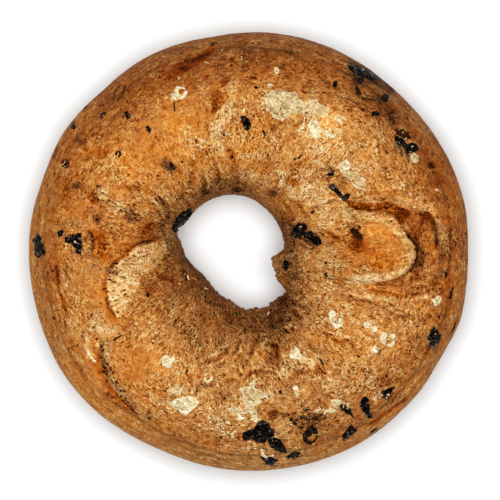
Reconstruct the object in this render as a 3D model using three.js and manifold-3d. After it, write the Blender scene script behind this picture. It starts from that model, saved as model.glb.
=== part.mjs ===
// A boiled and baked bagel with chopped dark fruit or olive baked into its crust, as one solid.
// Millimetres, +Z up. The bagel lies flat on z = 0 with its shown side up, and the origin is the middle of its
// footprint. Azimuths are in degrees, anticlockwise from +X.
//
// The crust is a torus whose two outlines, the outer one and the hole's, are worked out from a radius and a few
// named lobes. Every section between them is a rounded oval with a flat foot. Seams, folds and bulges are relief on
// the upper side, and the larger dark pieces are fused to it.
import * as THREE from "three";
import { mergeVertices } from "three/addons/utils/BufferGeometryUtils.js";
import Module from "manifold-3d";

// ---------------------------------------------------------------- driving dimensions
const OUTER_RADIUS = 55;
const HOLE_RADIUS = 13;
const HOLE_CENTRE = new THREE.Vector2(-4.1, 0.2);
const HEIGHT = 37;
const EQUATOR_HEIGHT = 17.5; // where the ring is widest

const RING_STEPS = 108; // facets round the ring
const SECTION_STEPS = 42; // facets round a section
const CROWN_CROWDING = 0.45; // 0 spaces a section's facets evenly, and more crowds them onto its top
const LINE_STEPS = 24; // straight stretches in a seam's smooth line
const WELD_DISTANCE = 1e-4; // vertices nearer than this are one

// A section is a superellipse: an exponent of 1 gives an ellipse, and less gives squarer shoulders.
const SHOULDER = 0.9;
const FOOT_SHOULDER = 0.8;
const FOOT_SINK = 1.1; // the lower half would reach this share of the equator's height, and is cut off at z = 0

// Relief reaches a little past the equator and fades out below it, as the sine of the section angle.
const RELIEF_FADE = [-0.25, 0.2];

// ---------------------------------------------------------------- outlines
// A lobe pushes an outline out, or in where it is negative: its azimuth, half width in degrees and height.
const OUTER_LOBES = [
  { at: 15, spread: 10, height: 0.4 },
  { at: 48, spread: 15, height: -0.6 },
  { at: 100, spread: 14, height: -0.5 },
  { at: 131, spread: 9, height: -0.7 },
  { at: 160, spread: 8, height: -0.4 },
  { at: 216, spread: 14, height: 0.6 },
  { at: 247, spread: 12, height: -0.5 },
  { at: 303, spread: 22, height: 0.6 },
  { at: 342, spread: 8, height: 0.8 },
];
const HOLE_LOBES = [
  { at: 95, spread: 50, height: 0.8 },
  { at: 160, spread: 9, height: 1.7 },
  { at: 222, spread: 36, height: -3.6 },
  { at: 281, spread: 8, height: 0.9 },
  { at: 300, spread: 19, height: 3.4 },
  { at: 324, spread: 13, height: 3.2 },
];
// The torn lip that stands out of the hole's wall between two azimuths: how softly it starts and ends, its size, and
// its height above the table.
const LIP = { from: -35, to: -3, startEdge: 2.5, endEdge: 7, size: 3.0, level: 19, reach: 6 };

// ---------------------------------------------------------------- seams and folds, in plan
// A crease is a valley along a smooth line. A ledge is a valley whose left side, looking along the line, stands up
// as a lip. Depths and heights are along the crust's normal, and width is the half width of the valley.
const LINE_END_STRENGTH = 0.25; // what is left of a valley at the ends of its line
const LINE_END_SHARE = 0.25; // the share of the line over which it fades to that
const LIP_OFFSET = 1.5; // a ledge's lip is highest this many valley widths from its line
const CREASES = {
  outerLeft: { line: [[-50, 2], [-48, -8], [-47, -13], [-45, -19]], width: 1.6, depth: 0.7 },
  besideHoleLeft: { line: [[-18, 5], [-25, 6], [-32, 5], [-38, 3]], width: 2.2, depth: 0.8 },
  topSide: { line: [[-7, 52.5], [-12, 49], [-16, 45.5]], width: 1.8, depth: 0.8 },
  aboveHole: { line: [[-10, 15], [-10, 25], [-8, 33], [-4, 42]], width: 2.0, depth: 0.5 },
  rightOfHoleTop: { line: [[8.5, 11], [7.5, 18], [9.5, 23]], width: 2.0, depth: 0.6 },
  belowHole: { line: [[6, -15], [6.5, -23], [6, -30]], width: 2.4, depth: 1.1 },
  belowHoleLeft: { line: [[-3, -15], [-6, -22], [-11, -27]], width: 2.2, depth: 0.6 },
  lowerArc: { line: [[10, -32], [13, -30], [17.5, -30], [21, -32.5]], width: 1.8, depth: 0.6 },
  lowerRightSide: { line: [[39, -37.5], [34, -41], [29, -44]], width: 1.6, depth: 0.7 },
  underTongue: { line: [[21, -12], [30, -13.5], [38, -13], [46, -10.5]], width: 1.8, depth: 0.6 },
  outsideTongue: { line: [[46, 8], [48.5, 3], [49, -3], [48, -9]], width: 1.7, depth: 0.6 },
  rightSide: { line: [[52, -14], [49, -24], [44, -32]], width: 1.6, depth: 0.5 },
};
const LEDGES = {
  paleFold: {
    line: [[-32, -17], [-35.5, -11], [-35, -5], [-32, -2], [-27, 1], [-20, 3]],
    width: 1.9, depth: 0.8, lip: 0.6, reach: 4,
  },
  lowerLeftSeam: {
    line: [[-36.5, -21], [-37, -27], [-35.5, -32], [-33, -35.5], [-29.5, -40], [-25, -42.5], [-19, -45]],
    width: 1.9, depth: 1.0, lip: 0.7, reach: 4,
  },
};
// Low rounded swellings of the dough: centre, radius and height.
const SWELLINGS = [
  { at: [-26, 27], radius: 11, height: 0.8 },
  { at: [21, 31], radius: 12, height: 0.9 },
  { at: [-41, -6], radius: 7, height: 0.6 },
  { at: [-27, -27], radius: 9, height: 0.8 },
  { at: [33, -25], radius: 11, height: 0.7 },
  { at: [-2, -36], radius: 8, height: 0.6 },
  { at: [14, -22], radius: 5, height: 0.5 },
  { at: [2, 33], radius: 8, height: 0.4 },
  { at: [4, -44], radius: 6, height: 0.5 },
];
// The rope's end, which lies on top as a tongue in a trough that winds round it. Both are round-ended bars in plan.
const TONGUE = { from: [17.4, 2.0], to: [33.2, 0.8], radius: 8.7, rise: 1.1, edge: 1.3 };
const TONGUE_ROOT = [15.4, 25.4]; // it grows out of the crust between these distances along +X
const TROUGH = { from: [24, 0.5], to: [35, 0.8], radius: 12, depth: 1.2, edge: 1.4 };

// ---------------------------------------------------------------- dark pieces
// Those of 2 mm or more: place in plan, length, width and the azimuth that the length points to.
const DARK_PIECE_THICKNESS = 1.7;
const DARK_PIECE_SUNK = 0.35; // how far its middle is under the crust
const DARK_PIECE_WAVES = [
  { count: 3, size: 0.16 },
  { count: 5, size: 0.1 },
]; // waves round its outline, as a share of its size
const DARK_PIECES = [
  { at: [2.9, -45.2], size: [7.4, 4.4], azimuth: 14 },
  { at: [7.2, -48.7], size: [5.2, 2.4], azimuth: -32 },
  { at: [5.3, -52.5], size: [3.8, 1.9], azimuth: -5 },
  { at: [11.4, -51.0], size: [3.5, 1.3], azimuth: 12 },
  { at: [15.2, -46.3], size: [4.2, 2.9], azimuth: 50 },
  { at: [24.4, -39.6], size: [4.2, 1.8], azimuth: -42 },
  { at: [29.5, -38.8], size: [5.5, 2.3], azimuth: -68 },
  { at: [25.2, -45.5], size: [4.6, 2.2], azimuth: 46 },
  { at: [34.9, -35.8], size: [4.2, 1.7], azimuth: 42 },
  { at: [46.4, -21.8], size: [4.8, 2.8], azimuth: -78 },
  { at: [51.3, -19.5], size: [4.8, 1.3], azimuth: 64 },
  { at: [50.3, -10.3], size: [4.0, 1.3], azimuth: 72 },
  { at: [12.6, 5.2], size: [4.4, 2.8], azimuth: -12 },
  { at: [16.0, 3.1], size: [4.4, 1.6], azimuth: -30 },
  { at: [9.2, -3.5], size: [2.4, 1.6], azimuth: 90 },
  { at: [21.0, 15.9], size: [2.2, 1.8], azimuth: 0 },
  { at: [23.8, 13.7], size: [3.2, 1.7], azimuth: 12 },
  { at: [-0.4, 32.0], size: [3.5, 2.1], azimuth: -56 },
  { at: [28.2, 44.8], size: [8.2, 2.4], azimuth: -24 },
  { at: [34.3, 38.5], size: [2.6, 1.8], azimuth: -50 },
  { at: [38.6, 29.2], size: [4.6, 2.4], azimuth: -38 },
  { at: [41.4, 25.7], size: [3.4, 2.2], azimuth: -42 },
  { at: [-43.3, 2.6], size: [5.0, 3.2], azimuth: -62 },
  { at: [-47.1, 4.6], size: [1.9, 1.4], azimuth: 50 },
  { at: [-52.6, 1.4], size: [5.6, 2.0], azimuth: -80 },
  { at: [-30.1, 34.0], size: [1.9, 1.3], azimuth: -50 },
  { at: [-19.3, 21.0], size: [2.4, 1.6], azimuth: -60 },
  { at: [-16.6, 8.0], size: [5.6, 2.0], azimuth: 52 },
];

const BAKED_DOUGH = new THREE.MeshStandardMaterial({ color: 0xb97636, roughness: 0.62, metalness: 0 });

// ---------------------------------------------------------------- small mathematics
const radians = THREE.MathUtils.degToRad;
const smoothstep = THREE.MathUtils.smoothstep;
const bell = (distance, spread) => Math.exp(-((distance / spread) ** 2));
const signedPower = (value, exponent) => Math.sign(value) * Math.abs(value) ** exponent;
const direction = (angle) => new THREE.Vector2(Math.cos(angle), Math.sin(angle));

// The shortest way from one angle to another, in degrees.
function turnBetween(angle, azimuth) {
  const turn = THREE.MathUtils.radToDeg(angle) - azimuth;
  return THREE.MathUtils.euclideanModulo(turn + 180, 360) - 180;
}

function outlineRadius(angle, radius, lobes) {
  return lobes.reduce((sum, lobe) => sum + lobe.height * bell(turnBetween(angle, lobe.at), lobe.spread), radius);
}

// ---------------------------------------------------------------- the plain ring
// A ring angle gives a section: where it starts at the hole, where it ends outside, and its direction.
function sectionAt(ringAngle) {
  const outward = direction(ringAngle);
  const outer = outward.clone().multiplyScalar(outlineRadius(ringAngle, OUTER_RADIUS, OUTER_LOBES));
  const inner = outward.clone().multiplyScalar(outlineRadius(ringAngle, HOLE_RADIUS, HOLE_LOBES)).add(HOLE_CENTRE);
  const across = outer.clone().sub(inner);
  return {
    middle: inner.clone().add(outer).multiplyScalar(0.5),
    halfWidth: across.length() / 2,
    outward: across.normalize(),
  };
}

// A section angle runs from the outer equator over the crown to the hole and back under the foot.
function ringPoint(ringAngle, sectionAngle) {
  const section = sectionAt(ringAngle);
  const cosine = Math.cos(sectionAngle);
  const sine = Math.sin(sectionAngle);
  const upper = sine >= 0;
  const reach = upper ? HEIGHT - EQUATOR_HEIGHT : EQUATOR_HEIGHT * FOOT_SINK;
  const exponent = upper ? SHOULDER : FOOT_SHOULDER;
  const aside = section.halfWidth * signedPower(cosine, exponent);
  const plan = section.middle.addScaledVector(section.outward, aside);
  return {
    position: new THREE.Vector3(plan.x, plan.y, EQUATOR_HEIGHT + reach * signedPower(sine, exponent)),
    normal: new THREE.Vector3(section.outward.x * cosine, section.outward.y * cosine, sine),
  };
}

// ---------------------------------------------------------------- relief
// A smooth line as points, made once from the few that shape it.
function sampled(points) {
  return new THREE.SplineCurve(points.map(([x, y]) => new THREE.Vector2(x, y))).getPoints(LINE_STEPS);
}

// How far a point is from a line, on which side of it, and how much of the line's strength is left at its ends.
function alongLine(point, line) {
  let nearest = { distance: Infinity };
  for (let i = 0; i + 1 < line.length; i += 1) {
    const run = line[i + 1].clone().sub(line[i]);
    const offset = point.clone().sub(line[i]);
    const share = THREE.MathUtils.clamp(offset.dot(run) / run.lengthSq(), 0, 1);
    const distance = offset.clone().addScaledVector(run, -share).length();
    if (distance < nearest.distance) {
      nearest = { distance, side: Math.sign(run.cross(offset)), progress: (i + share) / (line.length - 1) };
    }
  }
  const fromEnd = Math.min(nearest.progress, 1 - nearest.progress);
  const strength = THREE.MathUtils.lerp(LINE_END_STRENGTH, 1, smoothstep(fromEnd, 0, LINE_END_SHARE));
  return { ...nearest, strength };
}

function distanceToBar(point, bar) {
  const from = new THREE.Vector2(...bar.from);
  const run = new THREE.Vector2(...bar.to).sub(from);
  const offset = point.clone().sub(from);
  const share = THREE.MathUtils.clamp(offset.dot(run) / run.lengthSq(), 0, 1);
  return offset.addScaledVector(run, -share).length() - bar.radius;
}

const creases = Object.values(CREASES).map((crease) => ({ ...crease, line: sampled(crease.line) }));
const ledges = Object.values(LEDGES).map((ledge) => ({ ...ledge, line: sampled(ledge.line) }));

function creaseRelief(point) {
  let height = 0;
  for (const crease of creases) {
    const { distance, strength } = alongLine(point, crease.line);
    height -= crease.depth * strength * bell(distance, crease.width);
  }
  for (const ledge of ledges) {
    const { distance, side, strength } = alongLine(point, ledge.line);
    const lip = side > 0 ? ledge.lip * bell(distance - ledge.width * LIP_OFFSET, ledge.reach) : 0;
    height += strength * (lip - ledge.depth * bell(distance, ledge.width));
  }
  return height;
}

function tongueRelief(point) {
  const inTongue = 1 - smoothstep(distanceToBar(point, TONGUE), -TONGUE.edge, TONGUE.edge);
  const inTrough = 1 - smoothstep(distanceToBar(point, TROUGH), -TROUGH.edge, TROUGH.edge);
  const grown = smoothstep(point.x, ...TONGUE_ROOT);
  return grown * (TONGUE.rise * inTongue - TROUGH.depth * inTrough * (1 - inTongue));
}

function swellingRelief(point) {
  return SWELLINGS.reduce(
    (sum, { at, radius, height }) => sum + height * bell(point.distanceTo(new THREE.Vector2(...at)), radius),
    0,
  );
}

// The lip stands out from the hole's wall, towards its middle.
function lipRelief(ringAngle, sectionAngle, position) {
  const inward = Math.max(0, -Math.cos(sectionAngle));
  const level = bell(position.z - LIP.level, LIP.reach);
  const azimuth = turnBetween(ringAngle, 0);
  const started = smoothstep(azimuth, LIP.from - LIP.startEdge, LIP.from + LIP.startEdge);
  const ended = smoothstep(azimuth, LIP.to - LIP.endEdge, LIP.to + LIP.endEdge);
  return LIP.size * started * (1 - ended) * level * inward;
}

function crustPoint(ringAngle, sectionAngle) {
  const { position, normal } = ringPoint(ringAngle, sectionAngle);
  const plan = new THREE.Vector2(position.x, position.y);
  const faded = smoothstep(normal.z, ...RELIEF_FADE);
  const relief = faded * (creaseRelief(plan) + tongueRelief(plan) + swellingRelief(plan));
  position.addScaledVector(normal, relief + lipRelief(ringAngle, sectionAngle, position));
  position.z = Math.max(0, position.z);
  return position;
}

// ---------------------------------------------------------------- solids
// A torus grid carries the angles in its uv coordinates, so each of its vertices is moved to the crust.
function crustGeometry() {
  const geometry = new THREE.TorusGeometry(OUTER_RADIUS, HOLE_RADIUS, SECTION_STEPS, RING_STEPS);
  const { position, uv } = geometry.attributes;
  for (let i = 0; i < position.count; i += 1) {
    const ringAngle = 2 * Math.PI * (uv.getX(i) % 1);
    const evenAngle = 2 * Math.PI * (uv.getY(i) % 1);
    const point = crustPoint(ringAngle, evenAngle + CROWN_CROWDING * Math.cos(evenAngle));
    position.setXYZ(i, point.x, point.y, point.z);
  }
  return geometry;
}

// A flattened pebble with an uneven outline, lying in the crust where a ray from above meets it.
function darkPieceGeometry(piece, index, crust) {
  const [x, y] = piece.at;
  const fromAbove = new THREE.Raycaster(new THREE.Vector3(x, y, 2 * HEIGHT), new THREE.Vector3(0, 0, -1));
  const [hit] = fromAbove.intersectObject(crust);
  const [length, width] = piece.size;
  const geometry = new THREE.IcosahedronGeometry(0.5, 1);
  const { position } = geometry.attributes;
  for (let i = 0; i < position.count; i += 1) {
    const around = Math.atan2(position.getY(i), position.getX(i));
    const wave = (sum, { count, size }) => sum + size * Math.sin(count * (around + index));
    const uneven = DARK_PIECE_WAVES.reduce(wave, 1);
    position.setXYZ(i, position.getX(i) * uneven, position.getY(i) * uneven, position.getZ(i));
  }
  const lie = new THREE.Quaternion().setFromUnitVectors(new THREE.Vector3(0, 0, 1), hit.face.normal);
  const spin = new THREE.Quaternion().setFromAxisAngle(new THREE.Vector3(0, 0, 1), radians(piece.azimuth));
  const place = hit.point.clone().addScaledVector(hit.face.normal, -DARK_PIECE_SUNK);
  const size = new THREE.Vector3(length, width, DARK_PIECE_THICKNESS);
  return geometry.applyMatrix4(new THREE.Matrix4().compose(place, lie.multiply(spin), size));
}

const manifold = await Module();
manifold.setup();

function solidOf(geometry) {
  const bare = new THREE.BufferGeometry();
  bare.setAttribute("position", geometry.getAttribute("position"));
  bare.setIndex(geometry.getIndex());
  const merged = mergeVertices(bare, WELD_DISTANCE);
  return new manifold.Manifold(
    new manifold.Mesh({
      numProp: 3,
      vertProperties: new Float32Array(merged.attributes.position.array),
      triVerts: new Uint32Array(merged.index.array),
    }),
  );
}

function geometryOf(solid) {
  const { vertProperties, triVerts } = solid.getMesh();
  const geometry = new THREE.BufferGeometry();
  geometry.setAttribute("position", new THREE.BufferAttribute(vertProperties, 3));
  geometry.setIndex(new THREE.BufferAttribute(triVerts, 1));
  geometry.computeVertexNormals();
  return geometry;
}

function bagelMesh() {
  const crust = new THREE.Mesh(crustGeometry());
  const pieces = DARK_PIECES.map((piece, index) => solidOf(darkPieceGeometry(piece, index, crust)));
  const fused = pieces.reduce((whole, piece) => whole.add(piece), solidOf(crust.geometry));
  const mesh = new THREE.Mesh(geometryOf(fused), BAKED_DOUGH);
  mesh.name = "bagel";
  return mesh;
}

const group = new THREE.Group();
group.add(bagelMesh());

export default group;
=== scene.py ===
# The looks of a baked bagel with chopped dark fruit or olive in its crust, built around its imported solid.
# Shapes are worked out in millimetres and scaled to metres as they become meshes. +X is right, +Y is away.
import math
import random

import bpy
import numpy as np
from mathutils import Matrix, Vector, noise
from mathutils.bvhtree import BVHTree


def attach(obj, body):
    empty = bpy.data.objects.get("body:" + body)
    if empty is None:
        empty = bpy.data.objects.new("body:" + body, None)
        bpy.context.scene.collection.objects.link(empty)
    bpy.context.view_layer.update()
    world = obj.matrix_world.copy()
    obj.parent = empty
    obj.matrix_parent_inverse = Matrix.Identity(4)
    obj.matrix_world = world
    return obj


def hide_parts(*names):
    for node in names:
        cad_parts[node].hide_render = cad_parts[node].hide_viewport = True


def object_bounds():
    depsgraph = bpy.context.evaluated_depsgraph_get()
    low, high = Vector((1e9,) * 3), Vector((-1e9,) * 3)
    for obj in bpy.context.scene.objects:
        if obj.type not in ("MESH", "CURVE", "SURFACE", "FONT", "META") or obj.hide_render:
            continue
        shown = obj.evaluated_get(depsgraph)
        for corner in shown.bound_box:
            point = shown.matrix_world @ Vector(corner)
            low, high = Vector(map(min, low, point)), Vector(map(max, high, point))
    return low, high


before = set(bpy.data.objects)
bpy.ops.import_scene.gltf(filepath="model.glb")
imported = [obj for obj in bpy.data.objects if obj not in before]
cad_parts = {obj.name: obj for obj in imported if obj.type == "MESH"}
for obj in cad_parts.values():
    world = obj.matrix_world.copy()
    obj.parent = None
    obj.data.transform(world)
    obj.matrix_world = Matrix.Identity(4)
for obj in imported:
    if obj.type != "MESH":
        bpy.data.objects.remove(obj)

CAD_BOX = [list(corner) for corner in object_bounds()]
MM = 0.001
BOX_MARGIN = 0.005  # keeps the finished surface inside the solid's box

# Places on the upper side are read off the photograph, in its pixels: x to the right and y down.
PHOTO_MIDDLE = (248.5, 251)  # where the origin of the form lies in it
PHOTO_PX_PER_MM = 4
CROWN_MAGNIFIED = 1.007  # what lies on the crown is nearer the camera than the outline is

# ---------------------------------------------------------------- the form, in millimetres, as in the solid
OUTER_RADIUS = 55.0
HOLE_RADIUS = 13.0
HOLE_CENTRE = np.array([-4.1, 0.2])
HEIGHT = 37.0
EQUATOR_HEIGHT = 17.5  # where the ring is widest
SHOULDER = 0.9  # the exponent of a section's upper half: 1 gives an ellipse, and less gives squarer shoulders
FOOT_SHOULDER = 0.8  # the same for the lower half
FOOT_SINK = 1.1  # the lower half would reach this share of the equator's height, and is cut off at the table
RELIEF_FADE = (-0.25, 0.2)  # the sines of the section angle between which relief fades in
MARK_FADE = (0.05, 0.3)  # the same for small marks, so that none is drawn out down a wall

RING_STEPS = 760  # faces round the ring
SECTION_STEPS = 130  # faces round a section
CROWN_CROWDING = 0.7  # 0 spaces a section's faces evenly, and more crowds them onto its top
LINE_STEPS = 24  # straight stretches in a smooth line

OUTER_LOBES = [  # azimuth, spread in degrees, height
    (15, 10, 0.4), (48, 15, -0.6), (100, 14, -0.5), (131, 9, -0.7), (160, 8, -0.4),
    (216, 14, 0.6), (247, 12, -0.5), (303, 22, 0.6), (342, 8, 0.8),
]
HOLE_LOBES = [
    (95, 50, 0.8), (160, 9, 1.7), (222, 36, -3.6), (281, 8, 0.9), (300, 19, 3.4), (324, 13, 3.2),
]
# The torn lip in the hole: the azimuths where it starts and ends, how softly, and its size, level and reach.
LIP_START, LIP_END = -35, -3
LIP_START_EDGE, LIP_END_EDGE = 2.5, 7
LIP_SIZE, LIP_LEVEL, LIP_REACH = 3.0, 19, 6

LINE_END_STRENGTH = 0.25  # what is left of a valley at the ends of its line
LINE_END_SHARE = 0.25  # the share of the line over which it fades to that
LIP_OFFSET = 1.5  # a ledge's lip is highest this many valley widths from its line
CREASES = {  # line, half width, depth
    "outer left": ([(-50, 2), (-48, -8), (-47, -13), (-45, -19)], 1.6, 0.7),
    "beside hole left": ([(-18, 5), (-25, 6), (-32, 5), (-38, 3)], 2.2, 0.8),
    "top side": ([(-7, 52.5), (-12, 49), (-16, 45.5)], 1.8, 0.8),
    "above hole": ([(-10, 15), (-10, 25), (-8, 33), (-4, 42)], 2.0, 0.5),
    "right of hole top": ([(8.5, 11), (7.5, 18), (9.5, 23)], 2.0, 0.6),
    "below hole": ([(6, -15), (6.5, -23), (6, -30)], 2.4, 1.1),
    "below hole left": ([(-3, -15), (-6, -22), (-11, -27)], 2.2, 0.6),
    "lower arc": ([(10, -32), (13, -30), (17.5, -30), (21, -32.5)], 1.8, 0.6),
    "lower right side": ([(39, -37.5), (34, -41), (29, -44)], 1.6, 0.7),
    "under tongue": ([(21, -12), (30, -13.5), (38, -13), (46, -10.5)], 1.8, 0.6),
    "outside tongue": ([(46, 8), (48.5, 3), (49, -3), (48, -9)], 1.7, 0.6),
    "right side": ([(52, -14), (49, -24), (44, -32)], 1.6, 0.5),
}
LEDGES = {  # line, half width, depth, lip, reach of the lip
    "pale fold": ([(-32, -17), (-35.5, -11), (-35, -5), (-32, -2), (-27, 1), (-20, 3)], 1.9, 0.8, 0.6, 4),
    "lower left seam": (
        [(-36.5, -21), (-37, -27), (-35.5, -32), (-33, -35.5), (-29.5, -40), (-25, -42.5), (-19, -45)],
        1.9, 1.0, 0.7, 4,
    ),
}
SWELLINGS = [  # centre, radius, height
    ((-26, 27), 11, 0.8), ((21, 31), 12, 0.9), ((-41, -6), 7, 0.6), ((-27, -27), 9, 0.8),
    ((33, -25), 11, 0.7), ((-2, -36), 8, 0.6), ((14, -22), 5, 0.5), ((2, 33), 8, 0.4), ((4, -44), 6, 0.5),
]
# The rope's end: a tongue in a trough, both round-ended bars in plan. They grow out of the crust at the root.
TONGUE = {"from": (17.4, 2.0), "to": (33.2, 0.8), "radius": 8.7, "rise": 1.1, "edge": 1.3}
TONGUE_ROOT = (15.4, 25.4)  # the distances to the right between which they do
TROUGH = {"from": (24, 0.5), "to": (35, 0.8), "radius": 12, "depth": 1.2, "edge": 1.4}

# ---------------------------------------------------------------- fine relief, in millimetres
SWELL_SIZE, SWELL_HEIGHT = 7, 0.4
CRUMPLE_SIZE, CRUMPLE_HEIGHT = 2.2, 0.14
UPRIGHT_SHARE = 0.25  # what is left of both where the crust stands upright
BELOW_SOLID = 0.1  # lowers the crust, three times as much where it is level, to stay inside the solid's box
TABLE_CLEARANCE = (0.0, 2.0)  # the heights between which it fades in above the table
TEAR_SIZE, TEAR_DEPTH = 1.15, 1.0  # the torn edge of the hole
TEAR_AZIMUTH, TEAR_SPREAD = -50, 42  # where it is torn most
TEAR_ELSEWHERE = 0.3  # the share of the depth that it has all round

# ---------------------------------------------------------------- dark pieces
# Outlines in plan.
DARK_PIECES = {
    "boot": [
        (243, 437), (243, 433), (249, 430), (254, 429), (259, 421), (262, 420), (268, 422), (270, 427),
        (274, 431), (273, 436), (269, 438), (264, 442), (257, 441), (251, 438), (245, 440),
    ],
    "wedge": [
        (268, 441), (270, 439), (275, 438), (280, 440), (284, 446), (287, 452), (281, 452), (275, 449),
        (271, 446),
    ],
    "wing": [(261, 457), (266, 459), (271, 457), (277, 460), (271, 466), (265, 462)],
    "dash": [(286, 457), (291, 454), (296, 452), (300, 453), (299, 456), (293, 458)],
    "leaf": [(339, 406), (342, 404), (347, 407), (350, 409), (351, 413), (353, 416), (347, 413), (342, 409)],
    "upright": [
        (360, 404), (362, 399), (366, 396), (368, 399), (369, 405), (369, 410), (372, 417), (367, 417),
        (364, 411), (360, 407),
    ],
    "low leaf": [(343, 440), (344, 434), (348, 429), (351, 425), (356, 430), (352, 434), (347, 438)],
    "triangle": [
        (381, 392), (386, 390), (394, 387), (391, 391), (388, 396), (388, 400), (385, 398), (382, 397),
        (384, 394),
    ],
    "oval": [(428, 338), (431, 331), (434, 327), (438, 332), (441, 336), (439, 342), (434, 346), (430, 343)],
    "long": [
        (348, 66), (352, 65), (357, 68), (362, 69), (368, 72), (374, 75), (378, 78), (373, 79), (366, 77),
        (361, 77), (357, 74), (352, 71),
    ],
    "lump": [(382, 96), (385, 94), (388, 95), (388, 99), (386, 102), (382, 99)],
    "crumbled foot": [
        (396, 136), (402, 139), (405, 143), (409, 146), (411, 143), (416, 144), (418, 150), (414, 152),
        (408, 151), (403, 147), (399, 145), (395, 141),
    ],
    "under long": [(357, 77), (361, 76), (364, 80), (361, 83), (357, 81)],
    "chip": [(371, 115), (373, 112), (377, 112), (379, 115), (374, 116)],
    "top chip": [(333, 86), (334, 82), (337, 82), (336, 87)],
    "teardrop": [(241, 117), (245, 117), (249, 120), (251, 125), (248, 131), (245, 129), (243, 123)],
    "pair": [
        (329, 187), (331, 184), (334, 185), (336, 188), (338, 191), (341, 194), (343, 196), (347, 193),
        (350, 195), (348, 198), (344, 201), (341, 198), (338, 195), (334, 191), (331, 190),
    ],
    "knot": [
        (290, 225), (296, 226), (299, 223), (305, 224), (307, 228), (304, 231), (303, 235), (300, 238),
        (296, 237), (292, 232), (294, 228),
    ],
    "bar": [(303, 233), (310, 231), (318, 238), (322, 243), (317, 246), (310, 240), (304, 237)],
    "diamond": [(286, 260), (289, 264), (286, 271), (283, 266)],
    "left triangle": [
        (66, 238), (69, 235), (75, 235), (81, 233), (82, 243), (81, 254), (77, 253), (76, 248), (71, 243),
        (66, 242),
    ],
    "left edge": [
        (34, 240), (38, 234), (41, 240), (43, 247), (45, 253), (42, 254), (38, 258), (35, 254), (36, 247),
    ],
    "left diamond": [(58, 233), (61, 230), (64, 231), (62, 236), (59, 236)],
    "rim strip": [
        (172, 229), (175, 220), (181, 213), (190, 208), (191, 213), (185, 220), (180, 227), (176, 233),
    ],
    "left top chip": [(125, 113), (128, 112), (131, 117), (128, 119), (126, 116)],
    "left blot": [(146.5, 127), (148.5, 126.5), (151, 130), (150, 133), (147.5, 131)],
    "far left mark": [(71, 126), (73.5, 122.5), (74.5, 124), (75.5, 127), (73, 129), (71, 128)],
    "small dash": [(327, 175), (331, 173.5), (334, 172), (333, 175), (330, 176)],
    "ring": [
        (305.5, 431), (308, 427.5), (312, 426), (316, 428), (317.5, 432), (315, 433.5), (312, 431.5),
        (309, 431.5), (306.5, 434.5), (306, 438), (309, 441), (311.5, 443), (307, 444), (303.5, 440.5),
        (303, 435),
    ],
    "smeared chip": [
        (170, 162), (172, 163), (174, 166), (175.5, 168.5), (173, 170), (171.5, 173), (170.5, 170),
        (171, 166),
    ],
}
# Thin curls and chains of the same fruit: a line and a half width.
DARK_CURLS = {
    "hook": ([(446, 277), (446, 273), (448, 270)], 0.3),
    "edge dash": ([(371, 433), (377, 429)], 0.25),
    "small ring": ([(116, 155), (117, 152), (120, 152), (120.5, 155), (119, 157)], 0.25),
    "left comma": ([(101, 118), (102, 114), (105, 113)], 0.3),
    "far left dash": ([(83, 109), (86, 106)], 0.2),
    "upright dash": ([(174, 103), (175, 111)], 0.25),
    "top dash": ([(211, 45), (218, 41)], 0.16),
    "ring right": ([(316, 430), (317, 436), (314, 441), (310, 443)], 0.2),
    "chain side": ([(296, 419.5), (300, 417.5), (305, 416.5)], 0.16),
    "needle": ([(114, 340), (122, 335)], 0.22),
    "low chip": ([(284, 329), (289, 333)], 0.3),
    "long freckle": ([(319, 358), (323, 364)], 0.2),
    "top freckle": ([(263, 131), (265, 136)], 0.25),
}
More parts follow.
